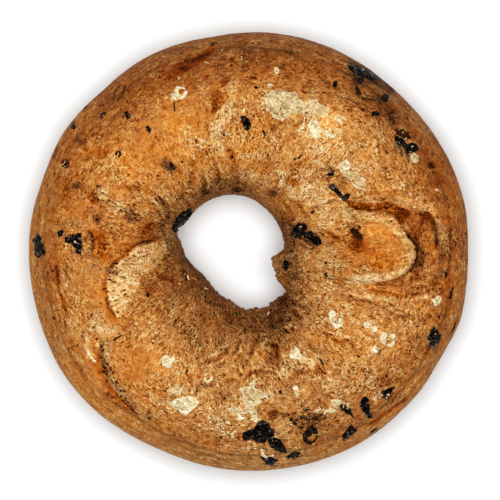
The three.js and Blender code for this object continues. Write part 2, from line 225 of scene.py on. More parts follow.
# Specks: place, length and width, azimuth of the length.
DARK_SPECKS = [
    ((182, 162), (0.9, 0.6), -30), ((168, 267), (0.9, 0.8), 60), ((149, 418), (1.3, 0.7), 0),
    ((54, 318), (0.9, 0.7), -30), ((69, 349), (0.8, 0.5), -40), ((53, 271), (0.8, 0.6), 90),
    ((98, 220), (1, 0.8), -40), ((326, 263), (0.9, 0.8), 0), ((326, 275), (1.3, 0.9), -60),
    ((313, 212), (1.3, 0.7), 20), ((232, 157), (1, 0.8), 40), ((268, 156), (1.1, 0.4), 75),
    ((256, 88), (0.9, 0.8), 45), ((358, 356), (1.1, 0.5), -20), ((439, 317), (0.7, 0.6), 0),
    ((417, 326), (0.7, 0.5), 30), ((409, 342), (0.7, 0.4), 45), ((331, 334), (0.7, 0.6), 0),
    ((364, 270), (0.9, 0.4), 0), ((417, 275), (0.6, 0.5), 0), ((408, 237), (1.2, 0.7), -40),
    ((462, 256), (0.5, 0.5), 0), ((466, 234), (0.9, 0.5), 80), ((225, 398), (0.8, 0.6), 0),
    ((220, 393), (0.7, 0.4), -30), ((280, 392), (1, 1), 0), ((221, 437), (0.8, 0.6), -30),
    ((305, 409), (1.1, 0.4), 0), ((284, 440), (0.6, 0.5), 0), ((252, 449), (1.1, 0.4), -10),
    ((226, 348), (0.9, 0.4), 60), ((235, 361), (1.2, 0.3), 70), ((148, 295), (1.4, 0.7), 80),
    ((206, 193), (1.1, 0.6), 0), ((237, 191), (1.4, 0.7), -20), ((285, 213), (0.6, 0.5), 90),
    ((126, 212), (0.7, 0.4), -20), ((112, 228), (0.8, 0.4), -30), ((95, 265), (0.7, 0.5), -40),
    ((163, 204), (0.9, 0.5), 60), ((281, 304), (1, 0.7), 60), ((236, 314), (0.9, 0.7), 0),
    ((386, 376), (1, 0.7), -60), ((365, 374), (0.7, 0.4), -20), ((158, 176), (0.7, 0.6), -20),
    ((123, 117), (0.9, 0.4), 70), ((140, 103), (1, 0.5), 0), ((79, 129), (0.7, 0.4), -30),
    ((208, 76), (1, 0.4), 60), ((231, 66), (0.7, 0.5), 20), ((224, 135), (1.2, 0.6), 70),
    ((253, 138), (0.6, 0.5), 0), ((256, 149), (0.6, 0.5), 0), ((306, 113), (1.1, 0.4), 30),
    ((58, 222), (0.7, 0.4), 90), ((68, 267), (0.6, 0.5), 0), ((340, 147), (0.7, 0.4), -20),
    ((361, 147), (0.9, 0.4), -30), ((387, 153), (1.1, 0.4), -30), ((360, 122), (1.2, 0.4), -20),
    ((388, 172), (0.5, 0.5), 0), ((430, 183), (0.9, 0.4), 80), ((434, 167), (0.8, 0.6), 0),
    ((303, 280), (0.5, 0.4), 0), ((296, 276), (0.6, 0.3), 0), ((324, 93), (0.8, 0.5), 30),
    ((305, 71), (0.7, 0.3), -60), ((284, 65), (0.6, 0.4), 0), ((257, 63), (0.6, 0.4), 0),
    ((345, 339), (0.6, 0.3), 0), ((355, 362), (0.7, 0.3), -20), ((394, 387), (0.8, 0.3), 20),
    ((325, 373), (0.9, 0.5), -20), ((335, 417), (0.7, 0.4), 0), ((332, 437), (0.9, 0.4), 0),
    ((202, 443), (0.5, 0.4), 0), ((175, 435), (1.2, 0.3), -30), ((231, 455), (0.9, 0.3), -60),
    ((239, 425), (1, 0.3), 70), ((138, 385), (0.5, 0.5), 0), ((288, 414), (1.1, 0.6), -60),
    ((291, 419), (1.2, 0.8), -50), ((295, 423), (1.4, 0.9), -30), ((301, 427), (1.5, 0.7), -20),
    ((306, 409), (2.2, 0.5), -10), ((309, 420), (0.9, 0.4), 0), ((316, 419), (1, 0.5), 20),
    ((298, 418), (0.6, 0.4), 0), ((303, 415), (0.6, 0.3), 30), ((104, 371), (0.8, 0.8), 0),
    ((107, 380), (0.8, 0.5), -40), ((113, 382), (0.9, 0.4), -30), ((121, 390), (0.9, 0.5), 0),
    ((121, 396), (0.7, 0.5), 0), ((128, 402), (0.9, 0.5), -20), ((132, 409), (1.1, 0.6), -30),
    ((102, 347), (0.9, 0.4), 80), ((97, 339), (0.7, 0.6), 0),
]
SPECK_FLATNESS, SPECK_BASE = 0.5, 0.15  # a speck is as thick as this share of its width and a base
TINY_SPECKS = 110  # strewn at random
TINY_SPECK_SIZE = (0.2, 0.5)
TINY_SPECK_STRETCH = (1, 1.8)
TINY_SPECK_THICKNESS = 0.3
SPECK_SUNK = 0.12
STREWN_FROM_HOLE, STREWN_FROM_OUTLINE = 4, 1.5  # how far strewn specks stay away from both

# ---------------------------------------------------------------- pale starch
# Scabs, as outlines in plan.
SCABS = {
    "big": [
        (266, 96), (270, 93), (275, 91), (281, 90), (289, 93), (296, 93), (298, 98), (300, 101), (304, 104),
        (303, 109), (305, 113), (299, 112), (296, 114), (291, 113), (288, 115), (285, 119), (282, 121),
        (278, 119), (274, 118), (270, 113), (267, 107), (265, 101),
    ],
    "small top": [(274, 68), (278, 68), (279, 73), (276, 74)],
    "by pair": [(338, 166), (341, 163), (345, 161), (349, 163), (350, 168), (346, 170), (341, 171)],
    "brightest": [
        (170, 403), (177, 399), (184, 397), (189, 396), (194, 397), (199, 401), (197, 405), (193, 408),
        (190, 411), (187, 414), (183, 413), (178, 409), (173, 406),
    ],
    "notched": [
        (162, 360), (163, 357), (166, 355), (169, 357), (169, 360), (171, 361), (172, 357), (174, 356),
        (175, 359), (173, 362), (171, 364), (170, 367), (166, 367), (163, 364),
    ],
    "film foot": [
        (310, 122.5), (313, 121), (316.5, 122), (318, 126.5), (321.5, 130), (320.5, 133.5), (318, 136.5),
        (317.5, 141), (316.5, 139), (312.5, 136.5), (310, 132), (308.5, 127),
    ],
    "under the film": [
        (324, 133), (326.5, 131), (330, 135.5), (334.5, 134.5), (333.5, 137.5), (331, 138.5), (326.5, 136.5),
    ],
    "beside the film": [(335, 117), (338, 118), (342, 122.5), (342, 124.5), (338.5, 121)],
    "star": [
        (254, 379.5), (255, 382.5), (254, 385), (253.5, 387), (255, 389), (258.5, 389), (262, 391.5),
        (261, 393), (265, 393), (267, 393.5), (268, 395), (268.5, 398), (267, 397.5), (266, 395.5),
        (264, 396.5), (261, 397.5), (259.5, 399), (261, 400.5), (259.5, 403), (257.5, 404.5), (255, 404),
        (253.5, 406.5), (253.5, 409.5), (256, 411.5), (257.5, 414.5), (260, 417), (261, 419.5), (257, 420),
        (256, 421.5), (253.5, 419.5), (250.5, 419.5), (252.5, 416.5), (251.5, 414), (251, 411.5),
        (249, 411.5), (246, 413), (242.5, 413.5), (239.5, 413), (237, 412), (234.5, 413), (233.5, 415),
        (232, 413), (230, 412), (228.5, 409.5), (230, 408), (233, 405.5), (236, 407), (239, 409),
        (242, 410.5), (244.5, 409), (246, 407), (245, 404), (243.5, 400.5), (242.5, 397.5), (242.5, 394),
        (241.5, 390.5), (240, 389), (242.5, 388), (246, 386.5), (249, 387), (251, 385.5), (249.5, 383.5),
        (251.5, 382),
    ],
    "horned": [
        (290, 353), (293, 350), (295, 351), (293.5, 345), (297, 348), (299, 351), (301, 355), (303, 358),
        (300, 359.5), (297, 358), (293, 358), (290, 357),
    ],
    "low right": [(432, 299), (435, 300), (438, 296), (441, 298), (440, 302), (436, 306), (434, 304)],
    "right oval": [(371, 349), (375, 346), (379, 349), (376, 352), (372, 352)],
    "second oval": [(363, 324), (367, 322), (369, 325), (366, 328)],
    "third oval": [(371, 327), (375, 326), (377, 330), (373, 332)],
    "top right crumb": [(411, 156), (414, 153), (418, 156), (418, 161), (415, 163), (412, 160)],
    "low pair a": [(293, 387), (297, 386), (298, 389), (294, 390)],
    "low pair b": [(295, 392), (299, 391), (300, 394), (296, 395)],
    "leaf cluster": [(331, 401), (336, 399), (341, 401), (342, 406), (338, 408), (333, 406)],
    "top ring": [
        (175.5, 89), (177, 86.8), (179.5, 87), (179, 89.5), (178, 92), (179, 94.5), (181.5, 96.5), (184, 95),
        (186, 91), (187, 93), (185, 97), (182.5, 99.5), (179.5, 98.5), (176.5, 96.5), (175, 93),
    ],
    "speckle body": [
        (329.5, 312), (332, 310.5), (334.5, 312), (335, 315), (333.5, 317), (336, 318.5), (334, 320),
        (334, 322.5), (336.5, 325), (336, 327.5), (333.5, 326), (332, 323), (330.5, 320), (329, 317.5),
        (328.5, 314.5),
    ],
    "speckle right": [
        (338, 320), (340, 318), (342, 318.5), (343, 321), (341.5, 323.5), (341, 326), (338, 327),
        (336.5, 325.5), (338.5, 323),
    ],
    "right ring left": [
        (381, 334.5), (383.5, 333), (386.5, 333.5), (386, 336), (384.5, 338), (385.5, 341), (384, 344),
        (382, 342.5), (380.5, 339.5), (380.2, 336.5),
    ],
    "right ring end": [(390.5, 334.5), (394, 334.5), (395, 336.5), (393.5, 339), (391.5, 338), (390, 336)],
    "right ring foot": [
        (386.5, 344.5), (389.5, 343.5), (392.5, 342.5), (394, 340.5), (393.5, 344), (391, 345.8), (388, 346),
    ],
    "low leaf cluster": [(330, 409), (336, 410), (333, 412), (324, 411)],
}
# Those that are duller than the others.
TAN_SCABS = ("big", "small top", "star", "top right crumb", "leaf cluster", "low leaf cluster", "low pair b")
# Thin ridges of a bright scab, and the edges of the thin film: a line and a half width.
SCAB_LINES = {
    "top ring arc": ([(179.5, 88.5), (182, 88), (184.5, 88.8)], 0.2),
    "top ring side": ([(171, 94.5), (175, 93.5)], 0.2),
    "top ring foot": ([(171.5, 99), (174, 98), (176, 99.5)], 0.28),
    "low arc": ([(205, 378.5), (206.5, 381), (209.5, 380.3), (211.5, 377.5)], 0.28),
    "low arc top": ([(205.5, 374.5), (208, 373.2)], 0.16),
    "fold rim": ([(88, 351), (91, 357), (96, 362)], 0.26),
    "low left": ([(238, 414), (240, 418), (244, 418)], 0.35),
    "dot": ([(239, 415), (241, 417), (240, 419), (237, 418)], 0.3),
    "over the wing": ([(262, 450), (264, 456), (269, 458), (273, 456)], 0.4),
}
FILM_EDGES = {
    "wing left edge": ([(304.5, 118), (302.5, 126), (299.5, 130), (299, 135)], 0.2),
    "wing top edge": ([
        (306.5, 105), (309, 102.5), (315.5, 100), (318.5, 104.5), (323.5, 107), (327.5, 112),
    ], 0.2),
    "wing square": ([(317.5, 152), (320, 147.5), (323, 148), (322, 153)], 0.22),
    "low of the pair": ([(343, 175), (350, 179), (353, 185), (358, 188), (364, 189)], 0.2),
}
# Thin pale haze of starch, softer than a scab: outline in plan.
HAZES = {
    "wing": [
        (299, 101), (304, 103), (308, 101), (313, 100), (316, 101), (318, 105), (322, 107), (326, 109),
        (328, 113), (328, 116), (322, 116), (318, 117), (316, 120), (311, 118), (305, 116), (299, 113),
    ],
    "wing foot": [
        (310, 118), (316, 120), (318, 126), (321, 131), (320, 136), (318, 141), (315, 138), (312, 135),
        (309, 130), (308, 124),
    ],
    "wing foot left": [(303, 121), (306, 125), (306, 130), (302, 131), (300, 134)],
    "wing foot right": [(323, 131), (327, 130), (330, 134), (335, 133), (334, 138), (328, 137), (324, 135)],
    "below the pair": [
        (340, 170), (350, 170), (357, 172), (362, 177), (368, 176), (364, 181), (366, 187), (370, 192),
        (362, 188), (355, 188), (352, 186), (354, 182), (350, 179), (345, 176), (340, 173),
    ],
    "above the brightest": [
        (169, 391), (173, 386), (177, 383), (180, 386), (184, 388), (188, 390), (186, 394), (182, 393),
        (178, 396), (173, 396), (170, 395),
    ],
    "above the star": [(251, 378), (253, 374), (257, 375), (256, 378)],
}
NO_HAZE = -2.0  # the depth inside a haze that the crust has far from one
HAZE_DROP = 3  # how much that depth is lowered down the walls
# Scattered pale crumbs: centre, radii and azimuth of a patch, and how many.
CRUMB_PATCHES = [
    ((195, 143), (10, 10), 0, 26), ((228, 138), (6, 6), 0, 14), ((172, 98), (7, 3), 0, 10),
    ((179, 80), (2, 2), 0, 2), ((362, 169), (14, 5), -20, 16), ((408, 154), (5, 4), 0, 9),
    ((415, 159), (4, 4), 0, 6), ((221, 426), (17, 8), -30, 64), ((336, 318), (8, 7), 0, 14),
    ((388, 339), (5, 4), 0, 7), ((333, 380), (6, 6), 0, 12), ((253, 446), (7, 5), -20, 12),
    ((266, 456), (6, 4), 0, 8), ((176, 388), (9, 7), 0, 14), ((322, 409), (14, 4), 0, 14),
    ((346, 405), (5, 3), 0, 7), ((386, 395), (4, 4), 0, 7), ((376, 394), (4, 8), 0, 12),
    ((265, 103), (3, 12), 0, 14), ((270, 88), (4, 5), 0, 7), ((64, 165), (5, 3), 0, 5),
    ((145, 332), (25, 14), 0, 12), ((165, 365), (18, 14), 0, 14), ((322, 165), (20, 12), 0, 16),
    ((356, 278), (14, 5), 0, 8), ((415, 193), (25, 18), 0, 10), ((205, 290), (3, 3), 0, 2),
    ((437, 300), (5, 4), 0, 5), ((186, 278), (10, 8), 0, 5), ((225, 58), (30, 10), 0, 7),
    ((310, 300), (60, 30), 0, 14),
]
CRUMB_WIDTHS = (0.25, 0.3, 0.4, 0.45, 0.65)
CRUMB_STRETCH = (1, 2.4)
CRUMB_FLATNESS, CRUMB_BASE = 0.35, 0.12  # a crumb is as thick as this share of its width and a base
CRUMB_SUNK = 0.1
# Painted highlights on the dark pieces, as pale lumps: place, and length and width in millimetres.
GLINTS = [
    ((387, 393.5), (0.9, 0.5)), ((385.5, 396.5), (0.5, 0.4)), ((76, 242), (0.9, 0.7)),
    ((70, 237.5), (0.4, 0.3)), ((302, 226), (0.4, 0.3)), ((347, 407), (0.4, 0.4)), ((343, 405.5), (0.6, 0.4)),
    ((402, 133), (0.4, 0.3)), ((405, 139), (0.4, 0.3)), ((411, 147), (0.5, 0.4)), ((362, 71), (0.7, 0.2)),
    ((434, 333), (0.3, 0.3)),
]
GLINT_THICKNESS = 1.0

# ---------------------------------------------------------------- tones of the crust
# tone runs from 0, burnt, to 1, cream. warmth runs from 0, a greyish tan, to 1, orange.
PLAIN_TONE = 0.48
PLAIN_WARMTH = 0.46
# Large and smaller soft patches: centre, radii, azimuth of the first radius, tone added, warmth added.
ZONES = [
    ((180, 150), (62, 38), 15, 0.06, 0.22), ((120, 85), (55, 26), 38, -0.07, 0.05),
    ((250, 45), (90, 18), 0, -0.06, -0.2), ((300, 190), (38, 16), -10, 0.14, 0.05),
    ((365, 150), (48, 48), 0, 0.06, 0), ((425, 180), (28, 40), -60, -0.05, 0),
    ((325, 130), (22, 16), -20, 0.14, 0.1), ((120, 170), (50, 30), 0, 0.03, 0.15),
    ((125, 232), (26, 22), 0, -0.05, 0.2), ((180, 285), (52, 34), -40, -0.13, -0.1),
    ((82, 295), (26, 42), 90, 0.04, 0), ((48, 290), (12, 95), 5, -0.08, -0.15),
    ((140, 360), (32, 38), 0, 0.05, 0.15), ((205, 355), (34, 26), 0, 0.02, -0.05),
    ((215, 325), (48, 20), -20, -0.1, -0.1), ((225, 405), (45, 32), 0, 0.03, -0.05),
    ((180, 450), (70, 16), -22, -0.05, -0.1), ((365, 330), (44, 50), 0, 0.07, 0),
    ((420, 345), (26, 50), 70, -0.03, 0), ((325, 420), (45, 22), 15, -0.1, -0.05),
    ((285, 320), (30, 38), 0, -0.18, -0.15), ((455, 245), (14, 60), 90, -0.06, -0.1),
    ((95, 330), (18, 24), 90, 0.08, -0.1), ((390, 295), (60, 10), 0, -0.02, 0),
    ((255, 140), (22, 30), 0, 0, 0.1), ((345, 210), (30, 10), 0, -0.02, -0.3),
    ((300, 260), (22, 24), 0, 0, -0.1), ((255, 180), (55, 14), 0, -0.05, -0.1),
    ((290, 415), (130, 50), 8, 0, -0.22), ((410, 120), (40, 50), -50, 0, -0.15),
]
PATCHES = [
    ((143, 129), (10, 5), 0, -0.12, 0), ((178, 128), (22, 11), 0, 0.1, 0.1), ((182, 152), (9, 8), 0, 0.13, 0),
    ((168, 167), (9, 6), -40, -0.2, -0.3), ((74, 187), (7, 6), 0, -0.14, -0.1),
    ((100, 206), (8, 9), 0, -0.12, 0.1), ((100, 246), (8, 11), 0, -0.14, 0.3),
    ((113, 270), (5, 6), 0, -0.28, -0.3), ((155, 228), (12, 8), 20, -0.12, 0.1),
    ((206, 171), (3, 13), 0, 0.12, 0), ((225, 134), (4, 4), 0, -0.15, 0),
    ((250, 150), (16, 26), 0, 0.09, 0.1), ((255, 182), (12, 10), 0, 0.12, 0), ((135, 83), (8, 6), 0, 0.06, 0),
    ((288, 158), (12, 18), -20, 0.12, 0.1), ((310, 128), (9, 8), 0, 0.16, 0),
    ((333, 118), (10, 5), 0, 0.17, 0.1), ((322, 148), (22, 14), 0, 0.09, 0),
    ((340, 184), (7, 11), -30, -0.22, -0.2), ((436, 208), (9, 6), -45, 0.13, 0),
    ((390, 190), (14, 6), 0, 0.13, 0.1), ((328, 221), (14, 9), 0, 0.2, -0.1),
    ((378, 231), (14, 7), 0, 0.1, 0.2), ((357, 241), (11, 10), 0, -0.2, 0.3),
    ((309, 240), (11, 8), -30, -0.2, -0.2), ((275, 196), (7, 5), -30, -0.14, 0),
    ((358, 76), (9, 6), -20, -0.32, -0.5), ((386, 116), (16, 16), 0, -0.14, 0),
    ((409, 153), (11, 5), -30, -0.2, -0.2), ((329, 92), (6, 10), 0, -0.1, 0),
    ((170, 314), (8, 7), 0, 0.09, 0), ((191, 310), (6, 7), 0, 0.08, 0), ((99, 329), (15, 6), -10, 0.15, -0.1),
    ((104, 370), (6, 6), 0, -0.15, 0.1), ((124, 408), (14, 6), -38, -0.12, 0.2),
    ((160, 362), (12, 13), 0, 0.09, 0.1), ((196, 371), (9, 7), 0, 0.11, 0),
    ((196, 398), (10, 6), 0, 0.2, -0.2), ((221, 395), (8, 5), -20, -0.2, 0.1),
    ((167, 425), (10, 5), 10, 0.12, 0.2), ((238, 424), (8, 5), 0, 0.12, 0),
    ((228, 436), (9, 4), 0, -0.1, -0.1), ((222, 308), (13, 6), -35, -0.14, 0),
    ((114, 314), (6, 5), 0, -0.1, 0.2), ((150, 291), (11, 4), -15, -0.12, 0.2),
    ((257, 322), (11, 5), 0, 0.1, 0), ((56, 276), (5, 14), 0, -0.1, 0.2),
    ((130, 356), (5, 12), 0, -0.09, 0.1), ((322, 259), (13, 12), 0, 0.15, 0),
    ((366, 281), (18, 5), 0, 0.14, 0), ((314, 297), (16, 12), 0, 0.13, 0), ((430, 296), (8, 5), 0, 0.1, 0),
    ((275, 328), (9, 9), 0, 0.12, 0), ((314, 337), (7, 7), 0, 0.2, 0), ((304, 324), (8, 6), 0, 0.1, 0),
    ((375, 330), (26, 6), 0, 0.07, 0), ((311, 364), (11, 5), -45, 0.16, 0), ((277, 374), (9, 5), 0, 0.12, 0),
    ((402, 362), (6, 6), 0, -0.13, 0.1), ((386, 382), (8, 9), 0, -0.16, 0.1),
    ((368, 372), (8, 5), 0, -0.1, 0), ((410, 340), (7, 9), 0, -0.1, 0.1), ((328, 421), (10, 5), 0, 0.12, 0.1),
    ((281, 425), (5, 6), 0, 0.13, -0.1), ((291, 440), (7, 5), 0, 0.1, 0),
    ((283, 296), (9, 8), 0, -0.18, -0.1), ((279, 240), (6, 26), 0, -0.12, 0),
    ((310, 418), (9, 6), 0, -0.16, -0.1),
]
# The rim: azimuth, spread, distances from the middle where it starts and is full, tone added, warmth added.
RIM_TONES = [
    (95, 62, 39, 47, -0.15, 0.1), (18, 32, 45, 51, -0.09, 0.15), (350, 25, 45, 51, -0.07, 0.15),
    (312, 28, 47, 52, -0.05, 0.15), (162, 22, 44, 50, -0.05, 0.1), (195, 25, 48, 53, -0.03, 0.15),
    (228, 28, 50, 55, 0.06, 0.1), (0, 400, 50, 52.5, 0.05, -0.05), (172, 10, 47, 51, 0.08, 0),
    (52, 9, 42, 48, -0.09, -0.15),
]
# Painted strokes: line, half width, tone added, warmth added.
STROKES = {
    "groove shade": ([
        (350, 208), (358, 209), (370, 210), (380, 208), (392, 207), (402, 212), (410, 218),
    ], 0.35, -0.12, 0.6),
    "groove upper edge": ([(386, 203), (393, 203), (399, 207), (408, 210)], 0.3, -0.2, 0.2),
    "tongue edge shade": ([
        (398, 223), (403, 230), (409, 238), (415, 245), (417, 254), (417, 263), (412, 271),
    ], 0.3, -0.35, -0.25),
    "seam line": ([
        (104, 377), (108, 385), (113, 393), (119, 400), (125, 406), (131, 413), (138, 417),
    ], 0.45, -0.08, 0.55),
    "seam shadow": ([
        (103, 340), (102, 350), (102, 358), (104, 366), (105, 373), (108, 380),
    ], 0.5, -0.16, -0.3),
    "red arc": ([(291, 379), (296, 373), (303, 370), (312, 372), (319, 372), (325, 377)], 0.6, -0.14, 0.2),
    "groove top fold": ([(385, 203), (394, 204), (403, 210), (409, 216)], 0.35, -0.05, 0.65),
    "red band edge": ([(376, 294), (392, 296), (408, 296)], 0.35, -0.02, 0.3),
    "light line": ([(350, 297), (378, 298), (410, 299), (436, 296)], 0.5, 0.12, -0.1),
    "shade line": ([(352, 301), (366, 302), (380, 305)], 0.3, -0.05, 0),
    "tongue dent": ([(372, 265), (382, 267)], 0.9, -0.12, 0.3),
    "hook edge": ([(435, 219), (438, 232), (438, 248)], 0.35, -0.28, 0.1),
    "hook inside": ([(421, 224), (424, 238), (427, 252), (427, 264)], 0.3, -0.1, 0),
    "outer ridge": ([(396, 200), (410, 202), (424, 206), (436, 214)], 1, 0.12, -0.1),
    "strip foot": ([(445, 250), (443, 265), (440, 280)], 1.2, -0.04, -0.2),
    "shade of fold top": ([(138, 245), (148, 243), (156, 240)], 0.5, -0.2, -0.2),
    "grey beside hole": ([(157, 237), (166, 234), (170, 242), (166, 249)], 1, 0.02, -0.5),
    "brown inside fold": ([(146, 282), (150, 290), (156, 284)], 1.2, -0.07, 0.1),
    "brown streak": ([(156, 272), (166, 277), (178, 282), (190, 287)], 0.7, -0.05, 0.3),
    "brown above streak": ([(158, 266), (170, 272)], 1, -0.08, 0.2),
    "pale arc": ([(84, 230), (90, 235), (92, 243), (90, 252), (86, 258)], 0.45, -0.16, -0.45),
    "pale arc shade": ([(88, 229), (94, 238), (95, 250)], 0.35, -0.22, 0.3),
    "outer left line": ([(56, 262), (57, 276), (58, 290), (62, 304), (68, 318)], 0.5, -0.24, 1.6),
    "outer left light": ([(62, 268), (64, 282), (65, 292)], 0.7, 0.06, -0.05),
    "outer left light foot": ([(66, 298), (72, 312)], 0.6, 0.11, 0.3),
    "flap line": ([(84, 328), (82, 336), (82, 345), (84, 353)], 0.28, -0.3, -0.1),
    "seam tail": ([(140, 419), (160, 425), (178, 436)], 0.6, -0.07, 0.2),
    "top band": ([(160, 80), (172, 74), (184, 67), (196, 58), (208, 49), (216, 42)], 1.1, -0.14, 0.65),
    "side crease": ([
        (368, 428), (378, 424), (386, 417), (396, 411), (404, 402), (411, 397),
    ], 0.5, -0.22, 0.7),
    "side crease light": ([(374, 429), (390, 418), (405, 407)], 0.4, 0.12, -0.1),
    # Painted shade round the rim of the hole, in its corner and in the crease below it.
    "rim of hole top": ([(190, 203), (210, 188), (235, 185), (258, 191)], 1.5, -0.13, -0.3),
    "rim of hole left": ([(168, 232), (180, 258), (200, 282), (225, 305)], 1.6, -0.1, -0.05),
    "rim of hole foot": ([(225, 312), (250, 322), (275, 318), (292, 300)], 2.4, -0.16, -0.15),
    "rim of hole right": ([(284, 215), (291, 240), (292, 262), (296, 285)], 1.6, -0.16, -0.2),
    "crease below hole": ([(272, 318), (276, 345), (272, 368)], 1.4, -0.15, 0.1),
    "hole corner": ([(160, 200), (170, 212), (168, 226)], 1.6, -0.12, -0.3),
    "pale line left of hole": ([(158, 212), (164, 222), (164, 230), (156, 236)], 0.4, -0.05, -0.2),
    "long smear": ([(346, 62), (366, 72), (382, 83), (394, 94)], 1.3, -0.2, -0.8),
    "long smear light": ([(380, 84), (390, 93), (398, 101)], 0.9, 0.05, -0.95),
    "arc smear": ([(354, 82), (357, 92), (364, 98), (376, 100), (388, 102)], 0.8, -0.1, -0.8),
    "crumbled smear": ([(388, 112), (393, 122), (398, 130)], 1, -0.18, 0),
    "crumbled shade": ([(393, 146), (402, 152), (412, 156)], 0.9, -0.14, -0.3),
    "olive smear": ([(318, 262), (326, 275), (333, 282)], 0.9, 0.02, -0.3),
    "oval smear": ([(433, 342), (431, 350)], 1, -0.16, -0.8),
    "low smear left": ([(282, 412), (286, 420)], 0.6, -0.21, -0.3),
    "knot shade": ([(300, 240), (312, 247), (322, 246)], 1, -0.02, -0.2),
    "tongue root streak": ([(330, 236), (338, 239), (344, 243)], 0.5, -0.08, 0.3),
    "ridge shade": ([(274, 172), (277, 184), (276, 196)], 0.6, -0.1, -0.1),
    "brown above hole": ([(229, 148), (232, 158), (233, 168)], 1, -0.17, 0.15),
    "left of hole brown": ([(170, 192), (184, 196), (196, 192)], 0.9, -0.1, 0),
    "orange left": ([(120, 184), (130, 189), (142, 188)], 0.8, -0.17, 0.15),
}
STROKE_CORE, STROKE_EDGE = 0.55, 1.35  # a stroke is full up to, and gone from, these shares of its half width
STROKE_END = (-0.02, 0.14)  # the shares of its length between which it fades in from either end
